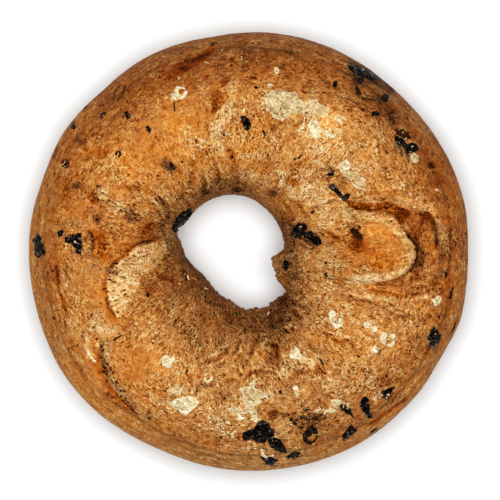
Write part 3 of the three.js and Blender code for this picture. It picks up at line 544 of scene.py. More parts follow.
# Fine wrinkles drawn in the dough: line, half width and depth in millimetres, tone added, warmth added.
# The tone added is painted shade along the wrinkle. A raised flank stands on the left of the line.
# It is FLANK_RISE of the depth high, and a share of the tone is taken away there as a painted highlight.
WRINKLES = {
    "below hole": ([(263, 336), (257, 342), (252, 349), (250, 356)], 0.61, 0.33, -0.26, 0.2),
    "below hole right": ([(266, 338), (272, 342), (275, 350), (276, 358)], 0.68, 0.33, -0.2, 0.1),
    "fold over the star": ([(248, 373), (255, 371), (264, 370.5), (272, 373)], 0.41, 0.26, -0.22, 0.1),
    "arc beside the star": ([(250, 374), (246.5, 377), (244, 381)], 0.34, 0.2, -0.27, -0.2),
    "middle diagonal": ([(241, 338), (238, 346), (233, 352), (228, 355)], 0.41, 0.26, -0.18, 0),
    "short diagonal": ([(249, 357), (246, 363), (243, 368)], 0.41, 0.2, -0.18, 0.2),
    "under the pale dashes": ([
        (230, 344), (226, 352), (219, 358), (209, 362), (202, 361),
    ], 0.41, 0.26, -0.2, 0),
    "low left diagonal": ([(220, 377), (214, 383), (207, 387), (202, 385)], 0.41, 0.26, -0.21, -0.1),
    "left of the star": ([(219, 386), (226, 382), (234, 380), (241, 383)], 0.47, 0.2, -0.17, 0.3),
    "over the root": ([
        (310, 209), (317, 206.5), (326, 203), (334, 201), (341, 203),
    ], 0.34, 0.26, -0.22, -0.3),
    "round the hole inner": ([(282, 204), (288, 209), (292, 216), (294, 222)], 0.41, 0.26, -0.18, 0),
    "round the hole outer": ([
        (285, 200), (294, 203), (301, 208), (306, 215), (311, 224),
    ], 0.47, 0.26, -0.15, 0.1),
    "under the bar": ([(300, 238), (306, 241), (311, 245), (316, 249)], 0.34, 0.26, -0.3, -0.1),
    "under the bar low": ([(298, 243), (304, 247), (311, 250)], 0.41, 0.2, -0.21, -0.2),
    "right of the bar": ([(322, 233), (328, 233), (334, 236), (341, 239)], 0.68, 0.26, -0.21, 0.5),
    "right of hole": ([(291, 228), (293, 237), (292, 246), (290, 254)], 0.41, 0.2, -0.18, -0.1),
    "hole foot right": ([(291, 302), (298, 305), (305, 305), (311, 302)], 0.61, 0.33, -0.22, -0.2),
    "hole foot low": ([(292, 309), (297, 313), (301, 320), (303, 328)], 0.47, 0.26, -0.17, 0),
    "hole foot short": ([(300, 291), (303, 295.5), (306, 299)], 0.27, 0.13, -0.3, -0.2),
    "from the speckles": ([(318, 330), (326, 334), (336, 338), (348, 340)], 0.47, 0.26, -0.18, 0.3),
    "below the speckles": ([(328, 342), (336, 341), (344, 344)], 0.54, 0.2, -0.15, 0.4),
    "swoosh": ([(353, 299), (361, 300), (368, 301), (373, 304), (380, 306)], 0.41, 0.26, -0.24, -0.1),
    "swoosh above": ([(366, 290), (380, 292), (394, 294), (408, 297)], 0.47, 0.26, -0.18, 0.3),
    "swoosh below": ([(384, 309), (396, 315), (410, 315)], 0.41, 0.2, -0.14, 0),
    "above hole left": ([(192, 160), (194, 170), (193, 182), (190, 192)], 0.68, 0.26, -0.14, 0.2),
    "above hole middle": ([(212, 158), (216, 168), (219, 178), (219, 188)], 0.47, 0.26, -0.17, 0.1),
    "above hole short": ([(202, 178), (206, 184), (205, 192)], 0.47, 0.2, -0.24, -0.1),
    "above hole right": ([(236, 166), (238, 176), (236, 186)], 0.54, 0.2, -0.12, 0.1),
    "hole corner upper": ([(182, 198), (188, 203), (192, 208)], 0.41, 0.26, -0.3, -0.2),
    "hole corner fold": ([(157, 196), (164, 202), (168, 210), (168, 220)], 0.47, 0.33, -0.22, -0.2),
    "hole corner left": ([(148, 200), (155, 206), (160, 214), (162, 222)], 0.41, 0.26, -0.18, 0),
    "left of hole": ([(150, 226), (158, 224), (166, 226)], 0.47, 0.26, -0.21, 0.2),
    "left foot of hole": ([(183, 268), (188, 278), (196, 288)], 0.54, 0.26, -0.15, 0),
    "rim top": ([(170, 69), (184, 60), (200, 52), (214, 46)], 0.41, 0.26, -0.15, 0.1),
    "rim top right": ([(262, 46), (278, 49), (294, 54), (308, 60)], 0.41, 0.26, -0.1, -0.1),
    "rim right foot": ([(384, 421), (398, 408), (412, 392), (424, 374)], 0.34, 0.15, -0.08, 0.5),
    "rim foot": ([(192, 451), (214, 458), (238, 462)], 0.41, 0.2, -0.18, 0),
    "rim left foot": ([(74, 360), (84, 380), (98, 400), (114, 417)], 0.41, 0.26, -0.15, 0.1),
    "rim left": ([(39, 205), (37, 222), (36, 240)], 0.34, 0.2, -0.18, 0),
    "fold top edge": ([
        (163, 238), (150, 241), (139, 244), (130, 251), (120, 259), (109, 269),
    ], 0.4, 0.35, -0.24, 0.4),
    "fold left edge": ([
        (108, 269), (105.5, 280), (105.5, 291), (108, 303), (113, 313), (120, 321),
    ], 0.35, 0.3, -0.2, 0.4),
    "tongue foot edge": ([
        (360, 286), (378, 283.5), (394, 280), (405, 275), (412, 270),
    ], 0.35, 0.3, -0.2, 0.2),
    "hook outer edge": ([(440, 252), (440, 240), (437, 228), (433, 217), (427, 211)], 0.35, 0.25, -0.2, 0.2),
    "lobe by the triangle": ([
        (82, 229), (88, 231), (92, 237), (94, 245), (93, 254), (88, 260),
    ], 0.32, 0.25, -0.12, 0.2),
    "ribbed stretch foot": ([(203, 359), (213, 357), (223, 352), (231, 343)], 0.35, 0.1, -0.1, 0.2),
    "small oval left": ([(122, 83), (117, 89), (114, 96), (115, 100)], 0.25, 0.15, -0.16, -0.1),
    "small oval right": ([(116, 100), (120, 96), (124, 88), (123, 84)], 0.25, 0.15, -0.16, -0.1),
}
# The share of a wrinkle's tone taken away on its flank, as a painted highlight.
FLANK_HIGHLIGHT = 0.6
FLANK_RISE = 0.5
FLANK_OFFSET = 1.9  # half widths from the line to the flank
WRINKLE_REACH = 2.5  # millimetres from the box round its line within which a wrinkle is drawn
# Parts of the crust with an edge: outline, softness of the edge, tone added, warmth added.
REGIONS = {
    "mottled lobe": ([
        (93, 188), (97, 185), (104, 188), (110, 195), (108, 201), (102, 201), (97, 196),
    ], 0.15, 0.14, -0.25),
    "second mottled lobe": ([
        (108, 203), (113, 200), (120, 200), (125, 206), (127, 212), (120, 215), (113, 211),
    ], 0.15, 0.12, -0.4),
    "ribbed stretch": ([
        (203, 358), (212, 356), (222, 351), (230, 342), (233, 335), (229, 336), (222, 343), (212, 349),
        (203, 353),
    ], 0.2, 0.03, -0.3),
    "pale fold": ([
        (165, 241), (150, 244), (139, 247), (133, 251), (127, 257), (121, 262), (115, 267), (109, 272),
        (108, 280), (107, 287), (109, 295), (109, 302), (112, 308), (115, 312), (118, 318), (121, 318),
        (124, 314), (127, 311), (126, 305), (132, 300), (135, 293), (140, 285), (141, 276), (150, 272),
        (158, 265), (163, 258), (166, 252), (167, 245),
    ], 0.1, 0.22, -0.2),
    "rim of the fold": ([
        (126, 259), (121, 262), (115, 267), (109, 272), (107.5, 280), (107, 287), (108.5, 295), (109, 302),
        (112, 308), (117, 311), (121, 305), (121, 296), (120, 287), (122, 277), (127, 268), (131, 262),
    ], 0.1, 0, -0.15),
    "heart of the fold": ([
        (110, 276), (118, 272), (126, 268), (134, 272), (138, 280), (134, 290), (130, 298), (120, 304),
        (113, 300), (110, 292), (110, 284),
    ], 0.8, 0.05, 0.05),
    "orange above the fold": ([
        (91, 228), (100, 232), (112, 238), (124, 240), (134, 246), (127, 254), (118, 262), (110, 268),
        (102, 262), (98, 250), (94, 238),
    ], 0.2, -0.01, 0.4),
    "brown above the fold": ([
        (138, 228), (150, 224), (158, 226), (162, 232), (154, 238), (146, 241), (138, 240),
    ], 0.5, -0.1, 0.25),
    "orange left of the fold": ([
        (103, 272), (108, 274), (106, 284), (106, 296), (109, 304), (105, 306), (101, 300), (100, 288),
        (101, 278),
    ], 0.25, -0.01, 0.35),
    "orange under the fold": ([
        (101, 304), (106, 304), (112, 309), (116, 315), (119, 321), (126, 326), (122, 328), (113, 322),
        (107, 316), (103, 310),
    ], 0.2, -0.03, 0.2),
    "patch over the seam": ([
        (92, 310), (96, 306), (101, 307), (104, 313), (107, 318), (111, 322), (115, 327), (116, 331),
        (110, 333), (105, 338), (101, 338), (97, 333), (91, 333), (86, 330), (88, 323), (90, 316),
    ], 0.2, 0.03, -0.35),
    "flap": ([
        (83, 334), (87, 332), (90, 337), (89, 344), (91, 350), (95, 357), (96, 362), (93, 362), (88, 357),
        (83, 352), (81, 346), (81, 340),
    ], 0.15, 0.19, -0.3),
    "flap gap": ([
        (91, 335), (94, 333), (97, 337), (102, 337), (101, 345), (100, 352), (100, 362), (95, 356), (91, 352),
        (90, 345),
    ], 0.2, -0.08, 0.3),
    "little flap": ([(95, 343), (99, 344), (99, 348), (97, 349)], 0.15, 0.47, -0.75),
    "seam band": ([
        (98, 352), (101, 360), (103, 370), (107, 381), (112, 390), (117, 397), (123, 403), (129, 409),
        (134, 415), (141, 419), (136, 419), (128, 414), (119, 407), (112, 401), (105, 392), (99, 382),
        (95, 372), (93, 362),
    ], 0.25, -0.07, 0.4),
    "inside the seam": ([
        (103, 338), (108, 338), (112, 345), (112, 356), (110, 364), (113, 372), (120, 380), (126, 386),
        (130, 393), (133, 401), (137, 408), (134, 412), (128, 408), (121, 401), (114, 393), (108, 385),
        (104, 377), (102, 366), (101, 356), (101, 346),
    ], 0.15, 0.06, -0.4),
    "stretch above the hole": ([
        (228, 83), (232, 80), (238, 79), (238, 84), (237, 90), (236, 97), (236, 104), (235, 110), (231, 117),
        (228, 123), (223, 127), (221, 133), (221, 141), (224, 148), (225, 156), (224, 160), (218, 154),
        (213, 148), (211, 140), (210, 131), (210, 124), (214, 118), (217, 112), (221, 108), (226, 104),
        (228, 97), (226, 90),
    ], 0.15, 0.19, -0.45),
    "red beside the stretch": ([
        (212, 96), (216, 92), (221, 92), (222, 98), (223, 103), (219, 109), (215, 115), (211, 111),
        (212, 103),
    ], 0.35, -0.23, 0.35),
    "red over the stretch": ([(221, 80), (228, 79), (228, 84), (223, 88)], 0.5, -0.28, 0.75),
    "pale right of the hole": ([
        (284, 187), (298, 185), (312, 183), (325, 183), (331, 188), (336, 195), (343, 202), (349, 208),
        (342, 212), (330, 214), (318, 212), (308, 205), (296, 200), (286, 198),
    ], 0.35, 0.06, -0.1),
    "root of the tongue": ([
        (310, 205), (322, 210), (334, 214), (344, 214), (350, 218), (344, 226), (330, 224), (316, 218),
    ], 0.7, 0.04, 0.2),
    "ridge over the hole": ([
        (279, 170), (283, 175), (284, 184), (281, 191), (277, 188), (280, 180),
    ], 0.2, 0.28, -0.4),
    "red over the pale": ([
        (284, 180), (288, 178), (294, 180), (300, 182), (297, 185), (290, 185), (286, 184),
    ], 0.3, -0.27, 0.55),
    "brown over the pale": ([
        (292, 163), (298, 162), (297, 170), (300, 180), (290, 178), (289, 168),
    ], 0.6, -0.16, 0.05),
    "bright right of the wing": ([
        (320, 118), (330, 115), (338, 120), (341, 128), (336, 136), (326, 130), (320, 124),
    ], 0.6, 0.05, 0.25),
    "blot by the pair": ([
        (316, 172), (322, 168), (330, 166), (336, 170), (334, 177), (326, 179), (320, 180),
    ], 0.6, -0.14, -0.2),
    "rim of the tongue": ([
        (338, 209), (350, 210), (357, 211), (362, 212), (370, 213), (378, 215), (386, 217), (391, 217),
        (396, 221), (400, 226), (402, 231), (406, 236), (409, 241), (413, 247), (414, 254), (415, 262),
        (413, 268), (407, 270), (401, 276), (393, 278), (383, 280), (372, 280), (362, 282), (352, 284),
        (344, 283), (352, 277), (362, 275), (375, 273), (388, 272), (398, 269), (404, 264), (405, 257),
        (404, 249), (400, 241), (395, 234), (390, 228), (384, 224), (372, 221), (360, 218), (350, 217),
        (340, 215),
    ], 0.4, 0.17, -0.28),
    "heart of the tongue": ([
        (366, 224), (382, 226), (392, 233), (400, 243), (403, 253), (402, 262), (394, 268), (380, 270),
        (368, 268), (364, 256), (362, 240),
    ], 1, 0.04, 0.32),
    "low part of the tongue": ([
        (364, 251), (380, 252), (398, 254), (402, 262), (392, 267), (376, 268), (366, 264),
    ], 0.6, -0.09, 0.1),
    "groove top": ([
        (342, 200), (347, 199), (350, 200), (354, 203), (362, 203), (372, 203), (380, 204), (386, 202),
        (392, 202), (397, 206), (404, 208), (409, 209), (412, 214), (410, 219), (405, 220), (401, 225),
        (398, 223), (394, 217), (390, 214), (383, 212), (376, 213), (370, 212), (364, 210), (357, 210),
        (351, 210), (347, 206),
    ], 0.12, -0.25, 0.6),
    "groove bay": ([
        (397, 206), (409, 209), (416, 210), (421, 213), (421, 222), (424, 228), (421, 238), (419, 244),
        (417, 240), (411, 238), (407, 233), (402, 228), (399, 224), (394, 217),
    ], 0.25, -0.1, 0.2),
    "groove end": ([
        (411, 238), (417, 236), (421, 243), (425, 250), (427, 258), (427, 268), (423, 273), (415, 275),
        (410, 272), (407, 270), (413, 266), (415, 258), (414, 250), (412, 243),
    ], 0.2, -0.25, -0.05),
    # Painted shade: the hook fold's shadow, under the painted shadow flake of the same outline.
    "hook": ([
        (421, 214), (424, 211), (429, 212), (432, 216), (434, 222), (436, 228), (432, 226), (427, 224),
        (424, 226), (421, 222),
    ], 0.1, -0.3, 0.25),
    "hook band": ([
        (424, 226), (430, 224), (436, 228), (438, 236), (440, 245), (438, 252), (434, 256), (430, 260),
        (427, 255), (424, 245), (422, 236),
    ], 0.25, -0.09, 0.25),
    "outside the hook": ([
        (435, 218), (440, 219), (446, 226), (450, 236), (450, 248), (453, 253), (449, 252), (444, 248),
        (440, 240), (438, 230),
    ], 0.12, 0.17, -1),
    "under the tongue": ([
        (383, 281), (394, 279), (406, 274), (414, 276), (424, 275), (434, 272), (440, 280), (440, 290),
        (430, 293), (420, 295), (408, 297), (396, 296), (385, 294), (372, 292), (362, 290), (365, 286),
        (375, 283),
    ], 0.3, -0.1, 0.15),
    "mottled strip": ([
        (97, 186), (103, 185), (109, 188), (113, 194), (118, 198), (124, 203), (127, 209), (131, 213),
        (126, 216), (119, 215), (112, 210), (108, 205), (106, 200), (101, 198), (97, 193),
    ], 0.2, 0, -0.2),
    "grey left patch": ([
        (128, 212), (134, 210), (138, 216), (134, 222), (128, 222), (125, 217),
    ], 0.6, -0.24, -0.65),
    "far left pit": ([(61, 158), (67, 158), (69, 163), (67, 167), (62, 166), (60, 162)], 0.3, -0.32, 0.55),
    "under the far left pit": ([(60, 167), (68, 167), (72, 172), (64, 176), (58, 172)], 0.6, 0.1, -0.2),
    "burnt far left edge": ([
        (51, 151), (55, 145), (58, 147), (56, 154), (53, 159), (50, 157),
    ], 0.3, -0.25, 0.6),
    "grey spot": ([(73, 184), (77, 182), (80, 187), (76, 190), (72, 188)], 0.4, -0.18, -0.25),
    "around the left speck": ([(93, 214), (98, 214), (102, 219), (98, 224), (93, 221)], 0.4, -0.2, -0.1),
    "orange left wedge": ([
        (91, 190), (95, 194), (98, 199), (96, 205), (91, 203), (88, 197),
    ], 0.4, -0.25, 0.5),
    "cream stretch": ([
        (275, 374), (281, 370), (286, 364), (293, 360), (301, 356), (306, 354), (310, 358), (315, 360),
        (317, 363), (312, 367), (305, 369), (297, 369), (292, 374), (286, 378), (280, 378),
    ], 0.15, 0.22, -0.4),
    "grey over the stretch": ([
        (294, 339), (299, 339), (303, 344), (303, 349), (299, 348), (296, 345),
    ], 0.3, 0.12, -0.8),
    "pale by the boot": ([
        (272, 421), (278, 417), (284, 414), (288, 417), (290, 424), (288, 430), (290, 437), (296, 440),
        (290, 444), (284, 440), (277, 432), (275, 425),
    ], 0.3, 0.07, -0.35),
    "red over the boot": ([
        (268, 414), (270, 410), (276, 408), (280, 411), (279, 416), (275, 419), (272, 421), (269, 418),
    ], 0.2, -0.3, 0.5),
    "low smear": ([
        (288, 416), (296, 413), (306, 414), (318, 413), (326, 412), (328, 418), (322, 424), (316, 428),
        (310, 430), (304, 430), (298, 427), (292, 423),
    ], 0.4, -0.12, -0.05),
    "crumb bed": ([
        (206, 418), (214, 416), (222, 418), (232, 423), (240, 430), (236, 436), (226, 434), (214, 428),
    ], 0.6, -0.01, -0.1),
    "pitted bed": ([
        (184, 328), (192, 327), (197, 333), (200, 340), (206, 346), (200, 350), (192, 344), (186, 338),
    ], 0.5, -0.04, -0.35),
    "pale dashes": ([
        (204, 358), (210, 354), (217, 350), (222, 350), (220, 354), (214, 358), (208, 361),
    ], 0.25, 0.15, -0.55),
    "pale dashes above": ([(226, 339), (229, 340), (228, 346), (225, 349)], 0.2, 0.03, -0.3),
    "bright by the brown": ([
        (247, 356), (255, 350), (262, 346), (266, 352), (262, 360), (254, 366), (248, 364),
    ], 0.8, 0.07, 0.15),
    "grey smear by the chip": ([
        (164, 155), (168, 159), (172, 162), (171, 170), (166, 169), (163, 162),
    ], 0.35, -0.2, -0.6),
}
# Red-brown ovals, the darker ones sunken: centre, radii, azimuth, tone added, warmth added.
PITS = [
    ((356, 233.5), (8, 4.5), -45, -0.3, 0.2), ((358, 246), (9, 8), -30, -0.13, 0.35),
    ((432, 165), (3, 3), 0, -0.3, 0.3), ((64, 164), (4, 3), 0, -0.3, 0.4), ((184, 68), (5, 4), 0, -0.16, 0.3),
    ((100, 152), (12, 3), 0, -0.12, 0.3), ((80, 141), (8, 4), 0, -0.14, -0.1),
    ((118, 92), (3, 8), -35, -0.05, -0.2), ((165, 278), (8, 3), -10, -0.12, 0.3),
    ((272, 195), (5, 3), 0, -0.3, -0.3), ((206, 193), (5, 3), 0, -0.25, -0.3),
    ((237, 190), (6, 3), -10, -0.25, -0.3), ((218, 180), (4, 3), 0, -0.14, -0.2),
]
PIT_EDGE = (0.6, 1.25)  # a pit is full up to, and gone from, these shares of its radii
PIT_WALL = (0.3, 1.1)  # the same for its depth
PIT_DEPTH = 0.45
SUNKEN_TONE = -0.25  # pits darker than this are sunken
WANDER_SIZE, WANDER_REACH = 2.2, 0.22  # how the edges of painted marks wander

# ---------------------------------------------------------------- pores and burnt folds
# Small holes, shown only by painted shade: centre, radii, azimuth of the first radius.
PORES = [
    ((110, 273), (2.4, 1), 50), ((113.5, 272.5), (2.6, 1.1), 45), ((110, 276.5), (1.6, 0.8), 30),
    ((110.5, 279.8), (2.2, 0.8), 5), ((113, 281.8), (3, 0.9), 10), ((121, 270), (1.4, 0.8), -30),
    ((140, 274), (1.8, 0.9), 0), ((125.2, 294), (2, 1.2), 20), ((128.2, 296.5), (1.8, 0.8), 0),
    ((119, 295.3), (1.2, 0.8), -40), ((113, 291), (1.4, 0.7), -30), ((113, 297.5), (1.6, 0.6), -10),
    ((118, 312), (1.4, 1.4), 0), ((120, 318), (1.2, 0.9), -40), ((117, 273), (1.6, 1.2), 30),
    ((108, 303.5), (1, 1.6), 0), ((101.5, 303), (0.8, 1.8), 20), ((148, 294.5), (1, 2.6), 15),
    ((158.5, 275), (1, 1.8), 20), ((170, 256.5), (1, 1.2), 0), ((131, 258), (1.4, 0.7), 30),
    ((127, 261), (1.2, 0.7), 30), ((124, 264), (1.5, 0.6), 20), ((101.5, 345.5), (1.2, 2.2), 10),
    ((102.3, 351), (1.1, 2), 0), ((105, 360), (1.2, 0.9), 30), ((104.5, 363), (1.1, 1), 0),
    ((105, 368), (2.6, 1.3), -15), ((105, 372), (1.2, 1.5), 0), ((108.5, 376), (1.5, 0.9), 40),
    ((106.7, 381), (1.2, 1.2), 0), ((111.5, 379.5), (0.8, 2.2), 35), ((113.5, 382.5), (1.4, 0.8), -35),
    ((118, 382.5), (1.6, 0.7), 20), ((120.2, 385.5), (1.1, 1), 0), ((117.5, 388), (0.8, 1.2), 20),
    ((121.5, 390.5), (2.2, 1), 0), ((121.5, 395.5), (1.4, 1.1), 40), ((125.5, 399), (1, 0.8), 0),
    ((128.4, 402.3), (1.8, 1.2), -20), ((131.2, 406.5), (2.4, 1.2), -30), ((133, 409), (1.5, 1.2), -20),
    ((138.5, 414), (1.4, 0.8), -20), ((97.5, 338.5), (1.8, 1.2), 0), ((149, 418.3), (3, 1.4), -12),
    ((148.5, 412.5), (1.8, 2), -20), ((156, 423), (4, 0.7), -28), ((107, 394.5), (2, 0.4), -42),
    ((111, 398.5), (2.2, 0.4), -40), ((409, 237.5), (2.6, 1.5), -30), ((415, 244.5), (0.9, 2.4), 20),
    ((417.5, 252), (0.9, 1), 0), ((419, 259), (0.8, 1), 5), ((415.5, 267), (1, 1.4), -20),
    ((421, 247), (0.8, 1.2), 20), ((422, 265), (1, 0.7), 0), ((418, 275), (1.1, 1.4), -30),
    ((411, 270.5), (1.6, 1), 30), ((366.6, 216.5), (1.1, 0.8), 0), ((441, 233.5), (0.8, 1.2), 30),
    ((443, 244.5), (0.9, 1.6), -10), ((447, 246), (1.4, 1.2), 0), ((450, 236), (0.7, 1.4), 0),
    ((191, 330.5), (1, 2), -30), ((194, 336), (1.8, 0.9), 20), ((188, 334), (1.4, 0.9), 30),
    ((185, 338), (0.9, 1.4), 0), ((196, 342), (1.4, 0.8), 30), ((199, 346), (1.2, 0.8), 20),
    ((207.5, 357.5), (0.8, 1.5), 10), ((202, 363), (1.2, 0.9), 0), ((226.4, 348), (0.9, 2), -25),
    ((197, 358), (1.8, 1), 20), ((202, 384), (1.3, 1), -30), ((197.5, 390), (1.4, 0.9), -20),
    ((196, 415), (2, 0.7), -25), ((248.5, 418), (1.6, 0.8), 25), ((208.5, 378.5), (1.4, 0.8), 0),
    ((167, 412.5), (1.8, 0.9), -10), ((166, 391), (1.6, 0.7), 30), ((172, 388.5), (1, 0.8), 0),
    ((304.2, 364), (2, 0.8), -60), ((307, 365.5), (1.8, 0.8), -50), ((294, 369), (1.6, 0.8), -30),
    ((302.5, 368.8), (1.6, 0.8), 20), ((278, 374), (1.2, 0.8), 40), ((285, 372), (1.8, 0.6), -60),
    ((289, 369), (1.8, 0.6), -60), ((292, 365), (1.8, 0.6), -60), ((297, 342.5), (1.8, 0.9), -45),
    ((224, 134.5), (1.2, 2.2), 20), ((223, 138), (1.4, 0.9), 0), ((217, 119), (1.3, 0.9), -40),
    ((226, 112), (0.9, 1.8), 15), ((233.5, 83.8), (2, 0.8), -30), ((233, 94), (1.6, 0.7), 20),
    ((228, 97.5), (1, 0.9), 0), ((216.5, 150.5), (2.2, 0.8), -20), ((197, 143), (0.9, 1.5), 20),
    ((196, 140), (1, 0.9), 0), ((198, 148), (1.1, 0.9), 0), ((206, 154.5), (2, 0.8), -45),
    ((212.8, 131.6), (1.2, 0.9), 0), ((232, 157), (2.4, 1.6), 40), ((98, 186), (2.4, 1.4), 10),
    ((110, 200.5), (1.4, 1), -40), ((113, 202.5), (1.1, 0.9), 0), ((116, 204.5), (1.2, 1), 0),
    ((126, 212), (1.6, 1), -20), ((280.5, 177), (1.2, 0.9), 0), ((283, 185), (1, 0.9), 0),
    ((280, 189.5), (1.2, 0.8), 0),
]
# Painted shade added round a pore.
PORE_TONE, PORE_WARMTH = -0.24, -0.05  # added round a pore
PORE_EDGE = (0.6, 1.5)  # the tone is full up to, and gone from, these shares of a pore's radii
PORE_REACH = 2.4  # millimetres from its middle within which it is added
PORE_THICKNESS, PORE_SUNK = 0.3, 0.25
# The darkest marks, of the pores' colour, and crisp red-brown painted fold shadows, as outlines in plan.
DARKEST_MARKS = {
    "ring heart": [(305, 434), (308, 430.5), (312, 432), (313, 436), (309, 437), (306, 440), (304, 438)],
    "comma": [
        (293, 161), (294, 159), (297, 157.5), (300, 155), (301, 152.5), (303, 152), (302, 155), (301, 158),
        (298, 159.5), (295, 161.5),
    ],
    "upper edge streak": [(449, 299), (449, 293), (451, 291), (453, 285), (455, 286), (453, 292), (452, 299)],
    "edge streak": [(451, 335), (453, 329), (457, 321), (459, 321), (456, 328), (453, 335)],
    "crumbled": [(394, 129), (404, 129), (409, 133), (412, 139), (407, 140), (400, 137), (396, 134)],
    "under long left": [(355, 88), (358, 86), (360, 91), (362, 95), (358, 96), (355, 93)],
    "under long right": [(366, 98), (373, 99), (379, 100), (372, 101)],
    # Painted shade: a dark sheet lying in the sunken pit of the tongue.
    "tongue pit": [
        (349.5, 229), (352, 226.5), (356, 228), (359.5, 231.5), (362.5, 235.5), (362.5, 239.5),
        (359.5, 240.5), (355.5, 238), (352, 235), (349.5, 231.5),
    ],
}
FOLD_SHADOWS = {
    "hook": [
        (421, 214), (424, 211.5), (428, 212), (431.5, 215), (434, 220), (436, 226), (434.5, 227), (432, 224),
        (429, 221), (426, 219.5), (424, 221), (423.5, 225), (421.5, 224), (420.5, 219),
    ],
    "groove corner": [(397, 207), (404, 208.5), (409, 211), (411, 215), (408, 216), (404, 213), (399, 210.5)],
}
# Rows of small holes where the dough was stretched, drawn as spots of painted shade: line, half width,
# density.
PORE_STRIPS = {
    "fold edge": ([(124, 258), (115, 270), (111, 285), (111, 300), (117, 314)], 2, 1),
    "fold inside": ([(135, 262), (126, 275), (124, 290)], 1.6, 0.45),
    "seam inside": ([(106, 345), (106, 365), (113, 381), (124, 396), (135, 409)], 1.5, 1),
    "flap": ([(97, 312), (94, 325), (90, 336)], 1.6, 0.5),
    "mottled strip": ([(95, 188), (108, 200), (124, 213)], 1.6, 0.5),
    "stretch above hole": ([(222, 108), (214, 122), (212, 134)], 1.6, 0.5),
    "cream stretch": ([(278, 374), (290, 367), (306, 360)], 1.8, 0.8),
    "ribs": ([(206, 356), (216, 352), (226, 345)], 1, 0.7),
    "dark pores": ([(184, 326), (194, 336), (200, 346)], 2.2, 0.8),
    "tongue end": ([(412, 238), (418, 250), (416, 264)], 1.4, 0.4),
    "pale strip": ([(440, 224), (446, 238), (446, 252)], 1.5, 0.5),
    "small ring": ([(112, 92), (106, 100), (100, 106)], 1.6, 0.5),
    "beside the hole": ([(160, 200), (168, 212), (166, 226)], 1.6, 0.4),
}
STRIP_CORE, STRIP_EDGE = 0.5, 1.3  # a strip is full up to, and gone from, these shares of its half width
# The smoother parts of the crust: centre and radii.
CALM = [
    ((385, 245), (30, 26)), ((200, 95), (28, 30)), ((85, 385), (22, 40)), ((150, 445), (45, 14)),
    ((440, 180), (18, 40)), ((50, 230), (8, 30)), ((395, 95), (30, 22)), ((275, 65), (36, 22)),
    ((140, 365), (20, 26)), ((95, 290), (24, 36)), ((150, 130), (40, 40)), ((280, 215), (20, 24)),
    ((85, 205), (28, 26)),
]
FLOW_REACH = (30, 48)  # the grain runs across the ring up to the first distance and round it from the second
RIM_REACH = (44, 50)  # streaks round the ring fade in between these distances from the middle
GRAIN_RADIUS = 38.0  # the ring's middle line, from the bagel's centre
GRAIN_GIRTH = 19.0  # a section's mean radius
GRAIN_STRETCH = 1.9  # how much longer the grain is than wide

# ---------------------------------------------------------------- flakes and lumps, in millimetres
FRUIT_FLAKE = {"grown": 0.2, "rise": 0.42, "sunk": 0.25, "shoulder": 0.35, "wrinkle": 0.4, "ragged": 0.18}
FRUIT_STRAND = {"rise": 0.3, "sunk": 0.2, "ragged": 0.14}
SCAB_FLAKE = {"grown": 0.16, "rise": 0.2, "sunk": 0.1, "shoulder": 0.3, "wrinkle": 0.2, "ragged": 0.2}
SCAB_STRAND = {"rise": 0.12, "sunk": 0.08, "ragged": 0.1}
# The shape of the darkest marks and of the painted fold shadows.
DARK_MARK_FLAKE = {"grown": 0.02, "rise": 0.05, "sunk": 0.08, "shoulder": 0.3, "wrinkle": 0, "ragged": 0.34}
PLATE_SPACING = 0.2  # between the corners of a flake's faces
PLATE_MARGIN = 0.3  # how far they reach past its outline, under the crust
PLATE_ROOT = 0.6  # how far its underside is below its edge
CRUMPLE_PITCH = 1.4  # crumples in a flake, for each millimetre
FLAKE_WANDER, STRAND_WANDER = 0.6, 0.9  # sizes of the bays in a flake's and a strand's outline
PEBBLE_SEGMENTS = 8
PEBBLE_RINGS = 3
PEBBLE_UNEVEN = (0.75, 1.2)  # the range of its radii, as shares of its size

# Seeds: one for the dice of each kind of piece, and the first of those of its flakes or strands.
SPECK_DICE, PORE_DICE, CRUMB_DICE = 11, 5, 23
FRUIT_SEED, CURL_SEED, SCAB_SEED, SCAB_LINE_SEED = 20, 60, 100, 140
DARKEST_MARK_SEED, FOLD_SHADOW_SEED, FILM_EDGE_SEED = 170, 180, 220

# ---------------------------------------------------------------- colours, as ramps from 0 to 1
# The crust's tones where its warmth is 0 and where it is 1, and the pale dust and crumbs on it.
TAN = [
    (0, (26, 13, 6)), (0.15, (78, 44, 19)), (0.3, (119, 72, 33)), (0.45, (154, 102, 54)),
    (0.6, (187, 131, 72)), (0.75, (215, 165, 98)), (0.9, (238, 201, 140)), (1, (248, 228, 184)),
]
ORANGE = [
    (0, (44, 13, 2)), (0.15, (99, 37, 5)), (0.3, (145, 64, 11)), (0.45, (184, 96, 22)), (0.6, (214, 128, 40)),
    (0.75, (235, 164, 70)), (0.9, (246, 201, 120)), (1, (250, 228, 172)),
]
CREAM = [(0, (160, 124, 70)), (0.35, (208, 174, 116)), (0.65, (234, 206, 150)), (1, (249, 236, 196))]
# The dark fruit's skin: black, up to the pale grey of the painted highlights along its ridges.
FRUIT_SKIN_AND_GLINTS = [
    (0, (3, 1, 0)), (0.25, (9, 5, 2)), (0.45, (38, 21, 10)), (0.6, (84, 58, 37)), (0.75, (130, 108, 84)),
    (1, (194, 188, 172)),
]
# The colour of the pores' painted shade and of the darkest marks.
PORE_BROWN = [(0, (20, 8, 3)), (0.5, (56, 28, 11)), (1, (112, 66, 30))]
# The colour of the painted shadows of the folds.
PAINTED_SHADOW_RED = [(0, (54, 18, 3)), (0.5, (100, 38, 6)), (1, (156, 78, 22))]
STARCH = [
    (0, (142, 98, 46)), (0.25, (192, 150, 90)), (0.5, (221, 192, 138)), (0.75, (244, 225, 174)),
    (1, (254, 246, 214)),
]
TAN_STARCH_LIGHTNESS, BRIGHT_STARCH_LIGHTNESS = 0.45, 0.67
FLOOR_WHITE = (244, 249, 251)

